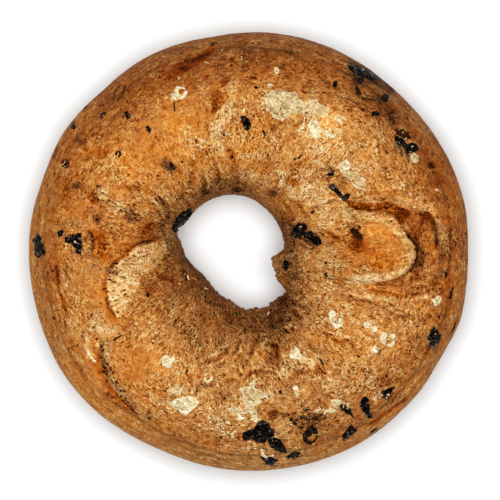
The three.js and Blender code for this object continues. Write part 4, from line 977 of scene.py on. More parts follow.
# ---------------------------------------------------------------- materials
CRUST_SPECULAR = 0.02
FRUIT_SPECULAR = 0.08
WORM_SHARPNESS = 2.6  # the higher, the thinner the lines of a noise of thin lines
SPOT_CORE = 0.6  # a spot is full up to this share of its radius
SPOT_CHOICE = (-0.02, 0.02)  # how softly the cells that have a spot are told from the others
SHADER_INPUTS = {
    "base_color": "Base Color", "roughness": "Roughness", "normal": "Normal",
    "specular_ior_level": "Specular IOR Level",
}

# ---------------------------------------------------------------- camera, lights and floor
VIEW_WIDTH = 125.0  # millimetres across the picture, at the height of the bagel's outline
VIEW_MIDDLE = (250, 250)  # in the photograph's pixels
CAMERA_DISTANCE = 2000.0
CAMERA_CLIP = (0.1, 10.0)  # metres
SENSOR_WIDTH = 36.0
LIGHTS = {  # place in metres, size, share of full brightness
    "overhead": ((0, 0, 1.8), 1.0, 1.0),
    "window": ((-1.2, 1.0, 1.3), 0.6, 0.06),
}
WORLD_BRIGHTNESS = 0.17
FLOOR_REACH = 4.0  # metres


# ---------------------------------------------------------------- small mathematics
def smoothstep(value, low, high):
    share = np.clip((value - low) / (high - low), 0, 1)
    return share * share * (3 - 2 * share)


def bell(distance, spread):
    return np.exp(-((distance / spread) ** 2))


def signed_power(value, exponent):
    return np.sign(value) * np.abs(value) ** exponent


def turn_between(angle, azimuth):
    """The shortest way from an azimuth to an angle in radians, in degrees."""
    return (np.degrees(angle) - azimuth + 180) % 360 - 180


def outline_radius(angle, radius, lobes):
    return radius + sum(height * bell(turn_between(angle, at), spread) for at, spread, height in lobes)


def smooth_line(points):
    """Points along the Catmull-Rom curve through a few points."""
    points = np.array(points, float)
    spans = len(points) - 1
    padded = np.vstack([points[:1], points, points[-1:]])
    line = []
    for place in np.linspace(0, spans, LINE_STEPS + 1):
        span = min(int(place), spans - 1)
        t = place - span
        a, b, c, d = padded[span : span + 4]
        leave, arrive = (c - a) / 2, (d - b) / 2
        cubic = 2 * b - 2 * c + leave + arrive
        square = 3 * c - 3 * b - 2 * leave - arrive
        line.append(cubic * t**3 + square * t**2 + leave * t + b)
    return np.array(line)


def along_line(plan, line):
    """How far each point is from a line, on which side of it, and how far along it."""
    nearest = np.full(len(plan), np.inf)
    side = np.zeros(len(plan))
    progress = np.zeros(len(plan))
    for i, (start, end) in enumerate(zip(line, line[1:])):
        run = end - start
        offset = plan - start
        share = np.clip(offset @ run / (run @ run), 0, 1)
        distance = np.linalg.norm(offset - share[:, None] * run, axis=1)
        nearer = distance < nearest
        nearest[nearer] = distance[nearer]
        side[nearer] = np.sign(run[0] * offset[nearer, 1] - run[1] * offset[nearer, 0])
        progress[nearer] = (i + share[nearer]) / (len(line) - 1)
    return nearest, side, progress


def valley_strength(progress):
    from_end = np.minimum(progress, 1 - progress)
    return LINE_END_STRENGTH + (1 - LINE_END_STRENGTH) * smoothstep(from_end, 0, LINE_END_SHARE)


def stroke_strength(progress):
    return smoothstep(np.minimum(progress, 1 - progress), *STROKE_END)


def depth_inside(plan, outline):
    """The distance from each point to an outline, positive inside it."""
    corners = np.array(outline, float)
    nearest = np.full(len(plan), np.inf)
    crossings = np.zeros(len(plan), int)
    for start, end in zip(corners, np.roll(corners, -1, axis=0)):
        run = end - start
        offset = plan - start
        share = np.clip(offset @ run / (run @ run), 0, 1)
        nearest = np.minimum(nearest, np.linalg.norm(offset - share[:, None] * run, axis=1))
        spans = (start[1] > plan[:, 1]) != (end[1] > plan[:, 1])
        where = start[0] + offset[:, 1] * run[0] / (run[1] or 1e-9)
        crossings += spans & (plan[:, 0] < where)
    return np.where(crossings % 2 == 1, nearest, -nearest)


def on_plan(places):
    """Places in the photograph's pixels, as millimetres in plan."""
    places = np.array(places, float)
    return (places - PHOTO_MIDDLE) * (1, -1) / (PHOTO_PX_PER_MM * CROWN_MAGNIFIED)


def oval_distance(plan, centre, radii, azimuth):
    """1 on the oval, 0 in its middle. It is given in the photograph's pixels, its azimuth anticlockwise."""
    turn = math.radians(azimuth)
    offset = (plan - on_plan(centre)) * PHOTO_PX_PER_MM
    along = offset @ np.array([math.cos(turn), math.sin(turn)])
    across = offset @ np.array([-math.sin(turn), math.cos(turn)])
    return np.hypot(along / radii[0], across / radii[1])


def near_places(plan, places, margin):
    """Which points lie within a margin of the box round some places, all in millimetres in plan."""
    places = np.atleast_2d(places)
    low, high = places.min(0) - margin, places.max(0) + margin
    return np.flatnonzero(np.all((plan > low) & (plan < high), axis=1))


def rough(points, size, octaves, seed):
    """Smooth noise about 0, with features of a size in millimetres."""
    shift = Vector((17.3 * seed, 5.1 * seed, 9.7 * seed))
    return np.array([noise.fractal(Vector(point) + shift, 0.9, 2.1, octaves) for point in points / size])


# ---------------------------------------------------------------- the crust's shape
def ring_grid():
    """Each vertex's ring angle and section angle, flattened, the section varying fastest."""
    ring = np.linspace(0, 2 * math.pi, RING_STEPS, endpoint=False)
    even = np.linspace(0, 2 * math.pi, SECTION_STEPS, endpoint=False)
    section = even + CROWN_CROWDING * np.cos(even)
    return [grid.ravel() for grid in np.meshgrid(ring, section, indexing="ij")]


def plain_ring(ring_angle, section_angle):
    """The smooth torus with its two uneven outlines, and its normals."""
    outward = np.stack([np.cos(ring_angle), np.sin(ring_angle)], axis=1)
    outer = outward * outline_radius(ring_angle, OUTER_RADIUS, OUTER_LOBES)[:, None]
    inner = outward * outline_radius(ring_angle, HOLE_RADIUS, HOLE_LOBES)[:, None] + HOLE_CENTRE
    across = outer - inner
    half_width = np.linalg.norm(across, axis=1) / 2
    across /= 2 * half_width[:, None]
    cosine, sine = np.cos(section_angle), np.sin(section_angle)
    reach = np.where(sine >= 0, HEIGHT - EQUATOR_HEIGHT, EQUATOR_HEIGHT * FOOT_SINK)
    exponent = np.where(sine >= 0, SHOULDER, FOOT_SHOULDER)
    aside = half_width * signed_power(cosine, exponent)
    plan = (inner + outer) / 2 + across * aside[:, None]
    position = np.column_stack([plan, EQUATOR_HEIGHT + reach * signed_power(sine, exponent)])
    normal = np.column_stack([across * cosine[:, None], sine])
    return position, normal


def inside_bar(plan, bar):
    """1 on a round-ended bar and 0 off it, with a soft edge."""
    distance = along_line(plan, np.array([bar["from"], bar["to"]]))[0] - bar["radius"]
    return 1 - smoothstep(distance, -bar["edge"], bar["edge"])


def fold_relief(plan):
    """The seams, folds, swellings and tongue that the solid has too."""
    height = np.zeros(len(plan))
    for points, width, depth in CREASES.values():
        distance, _, progress = along_line(plan, smooth_line(points))
        height -= depth * valley_strength(progress) * bell(distance, width)
    for points, width, depth, lip, reach in LEDGES.values():
        distance, side, progress = along_line(plan, smooth_line(points))
        raised = np.where(side > 0, lip * bell(distance - width * LIP_OFFSET, reach), 0)
        height += valley_strength(progress) * (raised - depth * bell(distance, width))
    for centre, radius, swelling in SWELLINGS:
        height += swelling * bell(np.linalg.norm(plan - np.array(centre), axis=1), radius)
    in_tongue, in_trough = inside_bar(plan, TONGUE), inside_bar(plan, TROUGH)
    grown = smoothstep(plan[:, 0], *TONGUE_ROOT)
    return height + grown * (TONGUE["rise"] * in_tongue - TROUGH["depth"] * in_trough * (1 - in_tongue))


def lip_relief(ring_angle, section_angle, position):
    """The torn lip that stands into the hole."""
    inward = np.maximum(0, -np.cos(section_angle))
    azimuth = turn_between(ring_angle, 0)
    started = smoothstep(azimuth, LIP_START - LIP_START_EDGE, LIP_START + LIP_START_EDGE)
    ended = smoothstep(azimuth, LIP_END - LIP_END_EDGE, LIP_END + LIP_END_EDGE)
    return LIP_SIZE * started * (1 - ended) * bell(position[:, 2] - LIP_LEVEL, LIP_REACH) * inward


def wrinkle_weights(plan, line, width):
    """How far each point is in a wrinkle, and how far on its light flank."""
    distance, side, progress = along_line(plan, smooth_line(on_plan(line)))
    strength = stroke_strength(progress)
    dip = bell(distance, width) * strength
    flank = np.where(side > 0, bell(distance - FLANK_OFFSET * width, width), 0) * strength
    return dip, flank


def wrinkle_relief(plan):
    height = np.zeros(len(plan))
    for line, width, depth, _, _ in WRINKLES.values():
        near = near_places(plan, on_plan(line), WRINKLE_REACH)
        dip, flank = wrinkle_weights(plan[near], line, width)
        height[near] += depth * (FLANK_RISE * flank - dip)
    return height


def pit_relief(plan):
    sunken = [(centre, radii, azimuth) for centre, radii, azimuth, tone, _ in PITS if tone < SUNKEN_TONE]
    return -PIT_DEPTH * sum(1 - smoothstep(oval_distance(plan, *oval), *PIT_WALL) for oval in sunken)


def hole_tear(ring_angle, section_angle, points):
    """How far the torn edge of the hole stands in or out."""
    inward = np.maximum(0, -np.cos(section_angle)) ** 2
    torn = bell(turn_between(ring_angle, TEAR_AZIMUTH), TEAR_SPREAD)
    window = TEAR_ELSEWHERE + (1 - TEAR_ELSEWHERE) * torn
    return TEAR_DEPTH * window * inward * rough(points, TEAR_SIZE, 3, 5)


def fine_relief(points, level):
    """Low relief that only the finished crust has. level is 1 where it lies level and 0 where it stands."""
    swells = SWELL_HEIGHT * rough(points, SWELL_SIZE, 2, 3)
    crumples = CRUMPLE_HEIGHT * rough(points, CRUMPLE_SIZE, 3, 4)
    share = UPRIGHT_SHARE + (1 - UPRIGHT_SHARE) * level
    return (swells + crumples) * share - BELOW_SOLID * (1 + 2 * level)


# ---------------------------------------------------------------- painting the crust
class Paint:
    """The tone and warmth of the crust at every vertex."""

    def __init__(self, count):
        self.tone = np.full(count, PLAIN_TONE)
        self.warmth = np.full(count, PLAIN_WARMTH)

    def add(self, tone, warmth, weight, near=slice(None)):
        self.tone[near] += tone * weight
        self.warmth[near] += warmth * weight


def paint_broadly(paint, plan, upper):
    """Large soft differences between one side of the crust and another."""
    for centre, radii, azimuth, tone, warmth in ZONES + PATCHES:
        paint.add(tone, warmth, bell(oval_distance(plan, centre, radii, azimuth), 1) * upper)
    angle, reach = np.arctan2(plan[:, 1], plan[:, 0]), np.hypot(*plan.T)
    for azimuth, spread, starts, full, tone, warmth in RIM_TONES:
        weight = bell(turn_between(angle, azimuth), spread) * smoothstep(reach, starts, full) * upper
        paint.add(tone, warmth, weight)


def paint_lines(paint, plan, upper, shown):
    """Strokes, and wrinkles with painted shade along them and a painted highlight on their flanks."""
    for line, width, tone, warmth in STROKES.values():
        distance, _, progress = along_line(plan, smooth_line(on_plan(line)))
        covered = 1 - smoothstep(distance, STROKE_CORE * width, STROKE_EDGE * width)
        paint.add(tone, warmth, covered * stroke_strength(progress) * upper)
    for line, width, _, tone, warmth in WRINKLES.values():
        near = near_places(plan, on_plan(line), WRINKLE_REACH)
        dip, flank = wrinkle_weights(plan[near], line, width)
        paint.tone[near] += tone * (dip - FLANK_HIGHLIGHT * flank) * shown[near]
        paint.warmth[near] += warmth * dip * shown[near]


def paint_outlined(paint, plan, wandered, shown):
    """What has an edge. The edges of regions and pits wander, and those of pores don't."""
    for outline, softness, tone, warmth in REGIONS.values():
        near = near_places(wandered, on_plan(outline), softness)
        depth = depth_inside(wandered[near], on_plan(outline))
        paint.add(tone, warmth, smoothstep(depth, -softness, softness) * shown[near], near)
    for centre, radii, azimuth, tone, warmth in PITS:
        covered = 1 - smoothstep(oval_distance(wandered, centre, radii, azimuth), *PIT_EDGE)
        paint.add(tone, warmth, covered * shown)
    for centre, radii, azimuth in PORES:
        near = near_places(plan, on_plan(centre), PORE_REACH)
        covered = 1 - smoothstep(oval_distance(plan[near], centre, radii, azimuth), *PORE_EDGE)
        paint.add(PORE_TONE, PORE_WARMTH, covered * shown[near], near)


def haze_field(plan, shown):
    """How far each vertex lies inside a haze of starch, in millimetres."""
    depth = np.full(len(plan), NO_HAZE)
    for outline in HAZES.values():
        depth = np.maximum(depth, depth_inside(plan, on_plan(outline)))
    return depth - HAZE_DROP * (1 - shown)


def pore_field(plan, shown):
    """How thickly each place is strewn with small holes."""
    density = np.zeros(len(plan))
    for line, width, full in PORE_STRIPS.values():
        distance = along_line(plan, smooth_line(on_plan(line)))[0]
        covered = 1 - smoothstep(distance, STRIP_CORE * width, STRIP_EDGE * width)
        density = np.maximum(density, full * covered * shown)
    return density


def calm_field(plan, shown):
    """1 in the smoother parts of the crust."""
    calm = sum(bell(oval_distance(plan, centre, radii, 0), 1) for centre, radii in CALM)
    return shown * np.minimum(1, calm)


def grain_fields(ring_angle, section_angle):
    """Coordinates in millimetres whose noise runs round the ring, and others whose noise runs across it."""
    round_ring = np.column_stack([np.cos(ring_angle), np.sin(ring_angle)]) * GRAIN_RADIUS
    girth = section_angle * GRAIN_GIRTH
    return {
        "grain_round": np.column_stack([round_ring / GRAIN_STRETCH, girth]),
        "grain_across": np.column_stack([round_ring, girth / GRAIN_STRETCH]),
    }


def crust_fields(plan, upper, shown, points):
    """What the material reads at every vertex. upper fades from 1 on the upper side to 0 down the walls, and
    shown does so higher up."""
    wander = np.column_stack([rough(points, WANDER_SIZE, 3, seed) for seed in (1, 2)])
    wandered = plan + WANDER_REACH * wander
    paint = Paint(len(plan))
    paint_broadly(paint, plan, upper)
    paint_lines(paint, wandered, upper, shown)
    paint_outlined(paint, plan, wandered, shown)
    from_middle = np.hypot(*plan.T)
    return {
        "tone": paint.tone,
        "warmth": paint.warmth,
        "haze": haze_field(plan, shown),
        "pores": pore_field(plan, shown),
        "calm": calm_field(plan, shown),
        "flow": smoothstep(from_middle, *FLOW_REACH),
        "rim": smoothstep(from_middle, *RIM_REACH),
    }


# ---------------------------------------------------------------- the crust's mesh
def crust_arrays():
    """The crust's vertices, and what its material reads at each of them."""
    ring_angle, section_angle = ring_grid()
    position, normal = plain_ring(ring_angle, section_angle)
    plan = position[:, :2].copy()
    upper, shown = (smoothstep(normal[:, 2], *fade) for fade in (RELIEF_FADE, MARK_FADE))
    relief = upper * fold_relief(plan) + lip_relief(ring_angle, section_angle, position)
    position += normal * relief[:, None]
    fields = crust_fields(plan, upper, shown, position) | grain_fields(ring_angle, section_angle)
    above_table = smoothstep(position[:, 2], *TABLE_CLEARANCE)
    marks = upper * (pit_relief(plan) + wrinkle_relief(plan))
    detail = above_table * (fine_relief(position, np.abs(normal[:, 2])) + marks)
    detail += hole_tear(ring_angle, section_angle, position)
    position += normal * detail[:, None]
    position[:, 2] = np.maximum(0, position[:, 2])
    return position, fields


def grid_faces():
    index = np.arange(RING_STEPS * SECTION_STEPS).reshape(RING_STEPS, SECTION_STEPS)
    beyond = np.roll(index, -1, axis=0)
    corners = [index, beyond, np.roll(beyond, -1, axis=1), np.roll(index, -1, axis=1)]
    return np.stack(corners, axis=-1).reshape(-1, 4)


def mesh_object(name, vertices, faces, material):
    """A smooth mesh object from vertices in millimetres."""
    mesh = bpy.data.meshes.new(name)
    low, high = np.array(CAD_BOX) / MM
    inside = np.clip(np.asarray(vertices), low, high - BOX_MARGIN)
    mesh.from_pydata((inside * MM).tolist(), [], [list(map(int, face)) for face in faces])
    mesh.validate()
    mesh.materials.append(material)
    mesh.shade_smooth()
    piece = bpy.data.objects.new(name, mesh)
    bpy.context.scene.collection.objects.link(piece)
    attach(piece, "root")
    return piece


def add_field(mesh, name, values):
    """A number or a vector for each vertex that the material reads by name."""
    kind, key = ("FLOAT_VECTOR", "vector") if np.ndim(values) == 2 else ("FLOAT", "value")
    attribute = mesh.attributes.new(name, kind, "POINT")
    attribute.data.foreach_set(key, np.asarray(values, np.float32).ravel())


def add_ring_uv(mesh):
    """One UV island with the seam under the foot: round the ring along U, round the section along V."""
    faces = np.arange(RING_STEPS * SECTION_STEPS)
    ring, section = faces // SECTION_STEPS, faces % SECTION_STEPS
    u = np.stack([ring, ring + 1, ring + 1, ring], axis=1) / RING_STEPS
    v = np.stack([section, section, section + 1, section + 1], axis=1) / SECTION_STEPS
    layer = mesh.uv_layers.new(name="OFBake")
    layer.data.foreach_set("uv", np.stack([u, v], axis=-1).astype(np.float32).ravel())


def make_crust():
    vertices, fields = crust_arrays()
    crust = mesh_object("crust", vertices, grid_faces(), crust_material())
    for name, values in fields.items():
        add_field(crust.data, name, values)
    add_ring_uv(crust.data)
    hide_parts("bagel")
    return crust


# ---------------------------------------------------------------- lumps and flakes that lie on the crust
class Surface:
    """The finished crust, to set things on. It works in millimetres."""

    def __init__(self, crust):
        vertices = [tuple(vertex.co / MM) for vertex in crust.data.vertices]
        faces = [tuple(face.vertices) for face in crust.data.polygons]
        self.tree = BVHTree.FromPolygons(vertices, faces)

    def under(self, x, y):
        """The crust's highest point at a place in plan and its normal, or None twice where there is none."""
        point, normal, _, _ = self.tree.ray_cast(Vector((x, y, 2 * HEIGHT)), Vector((0, 0, -1)))
        return point, normal


class Heap:
    """Vertices and faces of many small closed bodies, in millimetres, gathered for one mesh."""

    def __init__(self, surface):
        self.surface = surface
        self.vertices = []
        self.faces = []
        self.insets = []

    def add(self, vertices, faces, insets=None):
        """insets says how far each vertex lies inside its flake's outline."""
        first = len(self.vertices)
        self.vertices += [tuple(vertex) for vertex in vertices]
        self.faces += [[first + index for index in face] for face in faces]
        self.insets += [0.0] * len(vertices) if insets is None else insets


def closed_sheet(cells):
    """The corners that some cells use, in order, and a closed sheet's faces: top, underside and walls."""
    used = sorted({corner for cell in cells for corner in cell})
    place = {corner: number for number, corner in enumerate(used)}
    under = len(used)
    faces = [[place[corner] for corner in cell] for cell in cells]
    faces += [[place[corner] + under for corner in reversed(cell)] for cell in cells]
    edges = dict.fromkeys(edge for cell in cells for edge in zip(cell, cell[1:] + cell[:1]))
    for a, b in edges:
        if (b, a) not in edges:
            faces.append([place[b], place[a], place[a] + under, place[b] + under])
    return used, faces


def add_plate(heap, depth_at, low, high, rise, sunk, shoulder, wrinkle, seed):
    """A closed flake over the places where depth_at is above 0. Its edge dips under the crust."""
    low, high = low - PLATE_MARGIN, high + PLATE_MARGIN
    xs, ys = (np.arange(low[axis], high[axis], PLATE_SPACING) for axis in (0, 1))
    rows = len(ys)
    plan = np.array([(x, y) for x in xs for y in ys])
    depth = depth_at(plan)
    top, bottom = {}, {}
    for corner in np.flatnonzero(depth > -PLATE_MARGIN):
        point, normal = heap.surface.under(*plan[corner])
        if point is None:
            continue
        inside = min(max(depth[corner] / shoulder, 0), 1)
        crumple = wrinkle * noise.fractal(point * CRUMPLE_PITCH + Vector((seed, 0, 0)), 0.8, 2.2, 3)
        lift = (rise + sunk + crumple) * math.sqrt(1 - (1 - inside) ** 2) - sunk if inside else -sunk
        top[corner] = point + normal * lift
        bottom[corner] = point - normal * (sunk + PLATE_ROOT)
    corners = (column * rows + row for column in range(len(xs) - 1) for row in range(rows - 1))
    cells = [(corner, corner + rows, corner + rows + 1, corner + 1) for corner in corners]
    used, faces = closed_sheet([cell for cell in cells if all(corner in top for corner in cell)])
    insets = [max(depth[corner], 0.0) for corner in used] + [0.0] * len(used)
    heap.add([side[corner] for side in (top, bottom) for corner in used], faces, insets)


def add_flake(heap, outline, grown, rise, sunk, shoulder, wrinkle, ragged, seed):
    """A flake with an outline in plan that is grown outwards and wanders by ragged."""
    def depth_at(plan):
        wander = ragged * rough(np.column_stack([plan, np.zeros(len(plan))]), FLAKE_WANDER, 2, seed)
        return depth_inside(plan, outline) + grown + wander

    low, high = outline.min(0) - grown, outline.max(0) + grown
    add_plate(heap, depth_at, low, high, rise, sunk, shoulder, wrinkle, seed)


def add_strand(heap, line, half_width, rise, sunk, ragged, seed):
    """A thin flake along a smooth line."""
    curve = smooth_line(line)

    def depth_at(plan):
        wander = ragged * rough(np.column_stack([plan, np.zeros(len(plan))]), STRAND_WANDER, 2, seed)
        return half_width - along_line(plan, curve)[0] + wander

    low, high = curve.min(0) - half_width, curve.max(0) + half_width
    add_plate(heap, depth_at, low, high, rise, sunk, half_width, 0, seed)


def add_flakes(heap, outlines, first_seed, shape):
    for seed, outline in enumerate(outlines.values(), first_seed):
        add_flake(heap, on_plan(outline), seed=seed, **shape)


def add_strands(heap, lines, first_seed, shape):
    for seed, (line, half_width) in enumerate(lines.values(), first_seed):
        add_strand(heap, on_plan(line), half_width, seed=seed, **shape)


def pebble_faces():
    """The faces of a ball of rings between its lowest vertex, which comes first, and its highest, last."""
    last = 1 + PEBBLE_RINGS * PEBBLE_SEGMENTS
    faces = []
    for segment in range(PEBBLE_SEGMENTS):
        following = (segment + 1) % PEBBLE_SEGMENTS
        top = last - PEBBLE_SEGMENTS
        faces.append([0, 1 + following, 1 + segment])
        faces.append([last, top + segment, top + following])
        for ring in range(PEBBLE_RINGS - 1):
            low = 1 + ring * PEBBLE_SEGMENTS
            high = low + PEBBLE_SEGMENTS
            faces.append([low + segment, low + following, high + following, high + segment])
    return faces


def add_pebble(heap, place, size, azimuth, thickness, sunk, dice):
    """A small uneven closed lump, length by width by thickness, with part of it under the crust."""
    point, normal = heap.surface.under(*place)
    if point is None:
        return
    forward = Vector((math.cos(math.radians(azimuth)), math.sin(math.radians(azimuth)), 0))
    forward = (forward - normal * forward.dot(normal)).normalized()
    aside = normal.cross(forward)
    centre = point + normal * (thickness / 2 - sunk)
    vertices = [centre - normal * (thickness / 2)]
    for ring in range(1, PEBBLE_RINGS + 1):
        polar = math.pi * ring / (PEBBLE_RINGS + 1)
        for segment in range(PEBBLE_SEGMENTS):
            turn = 2 * math.pi * segment / PEBBLE_SEGMENTS
            reach = math.sin(polar) * dice.uniform(*PEBBLE_UNEVEN) / 2
            along = forward * (size[0] * reach * math.cos(turn))
            across = aside * (size[1] * reach * math.sin(turn))
            vertices.append(centre + along + across - normal * (thickness / 2 * math.cos(polar)))
    vertices.append(centre + normal * (thickness / 2))
    heap.add(vertices, pebble_faces())


def strewn_place(dice):
    """A place in plan on the crust's upper side, evenly spread."""
    while True:
        x, y = dice.uniform(-OUTER_RADIUS, OUTER_RADIUS), dice.uniform(-OUTER_RADIUS, OUTER_RADIUS)
        if HOLE_RADIUS + STREWN_FROM_HOLE < math.hypot(x, y) < OUTER_RADIUS - STREWN_FROM_OUTLINE:
            return x, y


def place_in_oval(centre, radii, azimuth, dice):
    """A place in an oval on the photograph, evenly spread, its azimuth anticlockwise."""
    reach, angle = math.sqrt(dice.random()), dice.uniform(0, 2 * math.pi)
    along, across = radii[0] * reach * math.cos(angle), radii[1] * reach * math.sin(angle)
    turn = math.radians(-azimuth)
    x = centre[0] + along * math.cos(turn) - across * math.sin(turn)
    y = centre[1] + along * math.sin(turn) + across * math.cos(turn)
    return x, y


def make_dark_fruit(surface):
    heap = Heap(surface)
    dice = random.Random(SPECK_DICE)
    add_flakes(heap, DARK_PIECES, FRUIT_SEED, FRUIT_FLAKE)
    add_strands(heap, DARK_CURLS, CURL_SEED, FRUIT_STRAND)
    for place, size, azimuth in DARK_SPECKS:
        thickness = SPECK_FLATNESS * size[1] + SPECK_BASE
        add_pebble(heap, on_plan(place), size, azimuth, thickness, SPECK_SUNK, dice)
    for _ in range(TINY_SPECKS):
        width = dice.uniform(*TINY_SPECK_SIZE)
        place, azimuth = strewn_place(dice), dice.uniform(0, 180)
        size = (width * dice.uniform(*TINY_SPECK_STRETCH), width)
        add_pebble(heap, place, size, azimuth, TINY_SPECK_THICKNESS, SPECK_SUNK, dice)
    return mesh_object("dark_fruit", heap.vertices, heap.faces, dark_fruit_material())


def make_pores(surface):
    """Painted shade of small holes in the stretched dough: dark lumps hardly proud of the crust."""
    heap = Heap(surface)
    dice = random.Random(PORE_DICE)
    for place, radii, azimuth in PORES:
        size = np.array(radii) * 2 / PHOTO_PX_PER_MM
        add_pebble(heap, on_plan(place), size, azimuth, PORE_THICKNESS, PORE_SUNK, dice)
    add_flakes(heap, DARKEST_MARKS, DARKEST_MARK_SEED, DARK_MARK_FLAKE)
    return mesh_object("dough_pores", heap.vertices, heap.faces, pore_material())


# Crisp red-brown painted shadows of the folds, as thin flakes on the crust.
def make_fold_shadows(surface):
    heap = Heap(surface)
    add_flakes(heap, FOLD_SHADOWS, FOLD_SHADOW_SEED, DARK_MARK_FLAKE)
    return mesh_object("painted_fold_shadows", heap.vertices, heap.faces, fold_shadow_material())


def make_scabs(surface):
    tan, bright = Heap(surface), Heap(surface)
    for seed, (name, outline) in enumerate(SCABS.items(), SCAB_SEED):
        heap = tan if name in TAN_SCABS else bright
        add_flake(heap, on_plan(outline), seed=seed, **SCAB_FLAKE)
    add_strands(bright, SCAB_LINES, SCAB_LINE_SEED, SCAB_STRAND)
    add_strands(tan, FILM_EDGES, FILM_EDGE_SEED, SCAB_STRAND)
    tan_starch = starch_material("dried_starch", TAN_STARCH_LIGHTNESS)
    bright_starch = starch_material("bright_starch", BRIGHT_STARCH_LIGHTNESS)
    for name, heap, material in (("starch_scabs", tan, tan_starch), ("bright_scabs", bright, bright_starch)):
        scabs = mesh_object(name, heap.vertices, heap.faces, material)
        add_field(scabs.data, "inset", heap.insets)


def make_crumbs_and_glints(surface):
    heap = Heap(surface)
    dice = random.Random(CRUMB_DICE)
    for centre, radii, azimuth, count in CRUMB_PATCHES:
        for _ in range(count):
            place = on_plan(place_in_oval(centre, radii, azimuth, dice))
            width = dice.choice(CRUMB_WIDTHS)
            size = (width * dice.uniform(*CRUMB_STRETCH), width)
            thickness = CRUMB_FLATNESS * width + CRUMB_BASE
            add_pebble(heap, place, size, dice.uniform(0, 180), thickness, CRUMB_SUNK, dice)
    # Painted highlights: pale lumps on the dark pieces.
    for place, size in GLINTS:
        add_pebble(heap, on_plan(place), size, dice.uniform(0, 180), GLINT_THICKNESS, CRUMB_SUNK, dice)
    return mesh_object("pale_crumb_and_glints", heap.vertices, heap.faces, crumb_and_glint_material())


# ---------------------------------------------------------------- materials
def linear_share(share):
    return share / 12.92 if share <= 0.04045 else ((share + 0.055) / 1.055) ** 2.4


def linear(colour):
    """An sRGB colour from 0 to 255 as the renderer's linear colour, opaque."""
    return [linear_share(value / 255) for value in colour] + [1.0]


class Recipe:
    """A material being put together. An input is a number, a tuple or another node's output. Sizes are in
    millimetres."""

    def __init__(self, name):
        self.material = bpy.data.materials.new(name)
        self.material.use_nodes = True
        self.tree = self.material.node_tree
        self.shader = self.tree.nodes["Principled BSDF"]

    def feed(self, socket, value):
        if isinstance(value, bpy.types.NodeSocket):
            self.tree.links.new(value, socket)
        else:
            socket.default_value = value

    def add(self, kind, inputs, output=0, **settings):
        node = self.tree.nodes.new(kind)
        for setting, value in settings.items():
            setattr(node, setting, value)
        for socket, value in inputs.items():
            self.feed(node.inputs[socket], value)
        return node.outputs[output]

    def finish(self, **inputs):
        for name, value in inputs.items():
            self.feed(self.shader.inputs[SHADER_INPUTS[name]], value)
        return self.material

    def vector_math(self, operation, vector, other):
        return self.add("ShaderNodeVectorMath", {0: vector, 1: other}, operation=operation)

    def longer(self, vector, factor):
        return self.add("ShaderNodeVectorMath", {0: vector, "Scale": factor}, operation="SCALE")

    def millimetres(self):
        return self.longer(self.add("ShaderNodeTexCoord", {}, "Object"), 1 / MM)

    def field(self, name, output="Fac"):
        return self.add("ShaderNodeAttribute", {}, output, attribute_name=name)

    def math(self, operation, *values, clamp=False):
        return self.add("ShaderNodeMath", dict(enumerate(values)), operation=operation, use_clamp=clamp)

    def total(self, *terms):
        """The sum of some terms. A term is a value, or a value and its weight."""
        values = [self.math("MULTIPLY", *term) if isinstance(term, tuple) else term for term in terms]
        result = values[0]
        for value in values[1:]:
            result = self.math("ADD", result, value)
        return result

    def other(self, share):
        return self.math("SUBTRACT", 1.0, share)

    def step(self, value, low, high):
        """0 below low and 1 above high, smooth between, or the other way round where low is the higher."""
        if low > high:
            return self.other(self.step(value, high, low))
        inputs = {"Value": value, "From Min": low, "From Max": high}
        return self.add("ShaderNodeMapRange", inputs, interpolation_type="SMOOTHSTEP")

    def wave(self, coordinates, size, detail=2.0, roughness=0.5, distortion=0.0):
        """Noise about 0, mostly within 1 of it, with features of a size."""
        inputs = {
            "Vector": coordinates, "Scale": 1 / size, "Detail": detail, "Roughness": roughness,
            "Distortion": distortion,
        }
        return self.math("MULTIPLY_ADD", self.add("ShaderNodeTexNoise", inputs), 4.0, -2.0)

    def worms(self, coordinates, size, distortion=0.0):
        """Thin wandering lines, about 0 on average and 1 on a line."""
        distance = self.math("ABSOLUTE", self.wave(coordinates, size, 1.0, 0.5, distortion))
        return self.other(self.math("MULTIPLY", distance, WORM_SHARPNESS))

    def spots(self, coordinates, cell, radius, share):
        """Round spots of a radius in a share of the cells, 1 inside a spot."""
        inputs = {"Vector": coordinates, "Scale": 1 / cell}
        distance = self.add("ShaderNodeTexVoronoi", inputs, "Distance")
        drawn = self.add("ShaderNodeSeparateColor", {0: distance.node.outputs["Color"]})
        chosen = self.step(self.math("SUBTRACT", share, drawn), *SPOT_CHOICE)
        inside = self.step(distance, radius / cell, SPOT_CORE * radius / cell)
        return self.math("MULTIPLY", inside, chosen)

    def shaken(self, coordinates, size, reach, place=None):
        """Coordinates pushed about by up to half a reach, by noise with features of a size."""
        inputs = {"Vector": place or coordinates, "Scale": 1 / size, "Detail": 2.0}
        push = self.add("ShaderNodeTexNoise", inputs, "Color")
        centred = self.vector_math("SUBTRACT", push, (0.5, 0.5, 0.5))
        return self.vector_math("ADD", coordinates, self.longer(centred, reach))

    def blend(self, share, first, second):
        return self.add("ShaderNodeMix", {0: share, 2: first, 3: second})

    def blend_colours(self, share, first, second):
        return self.add("ShaderNodeMix", {0: share, 6: first, 7: second}, 2, data_type="RGBA")

    def ramp(self, value, stops):
        ramp = self.add("ShaderNodeValToRGB", {0: value})
        elements = ramp.node.color_ramp.elements
        while len(elements) < len(stops):
            elements.new(0.5)
        for element, (position, colour) in zip(elements, stops):
            element.position = position
            element.color = linear(colour)
        return ramp

    def bump(self, height, distance):
        return self.add("ShaderNodeBump", {"Height": height, "Distance": distance * MM})


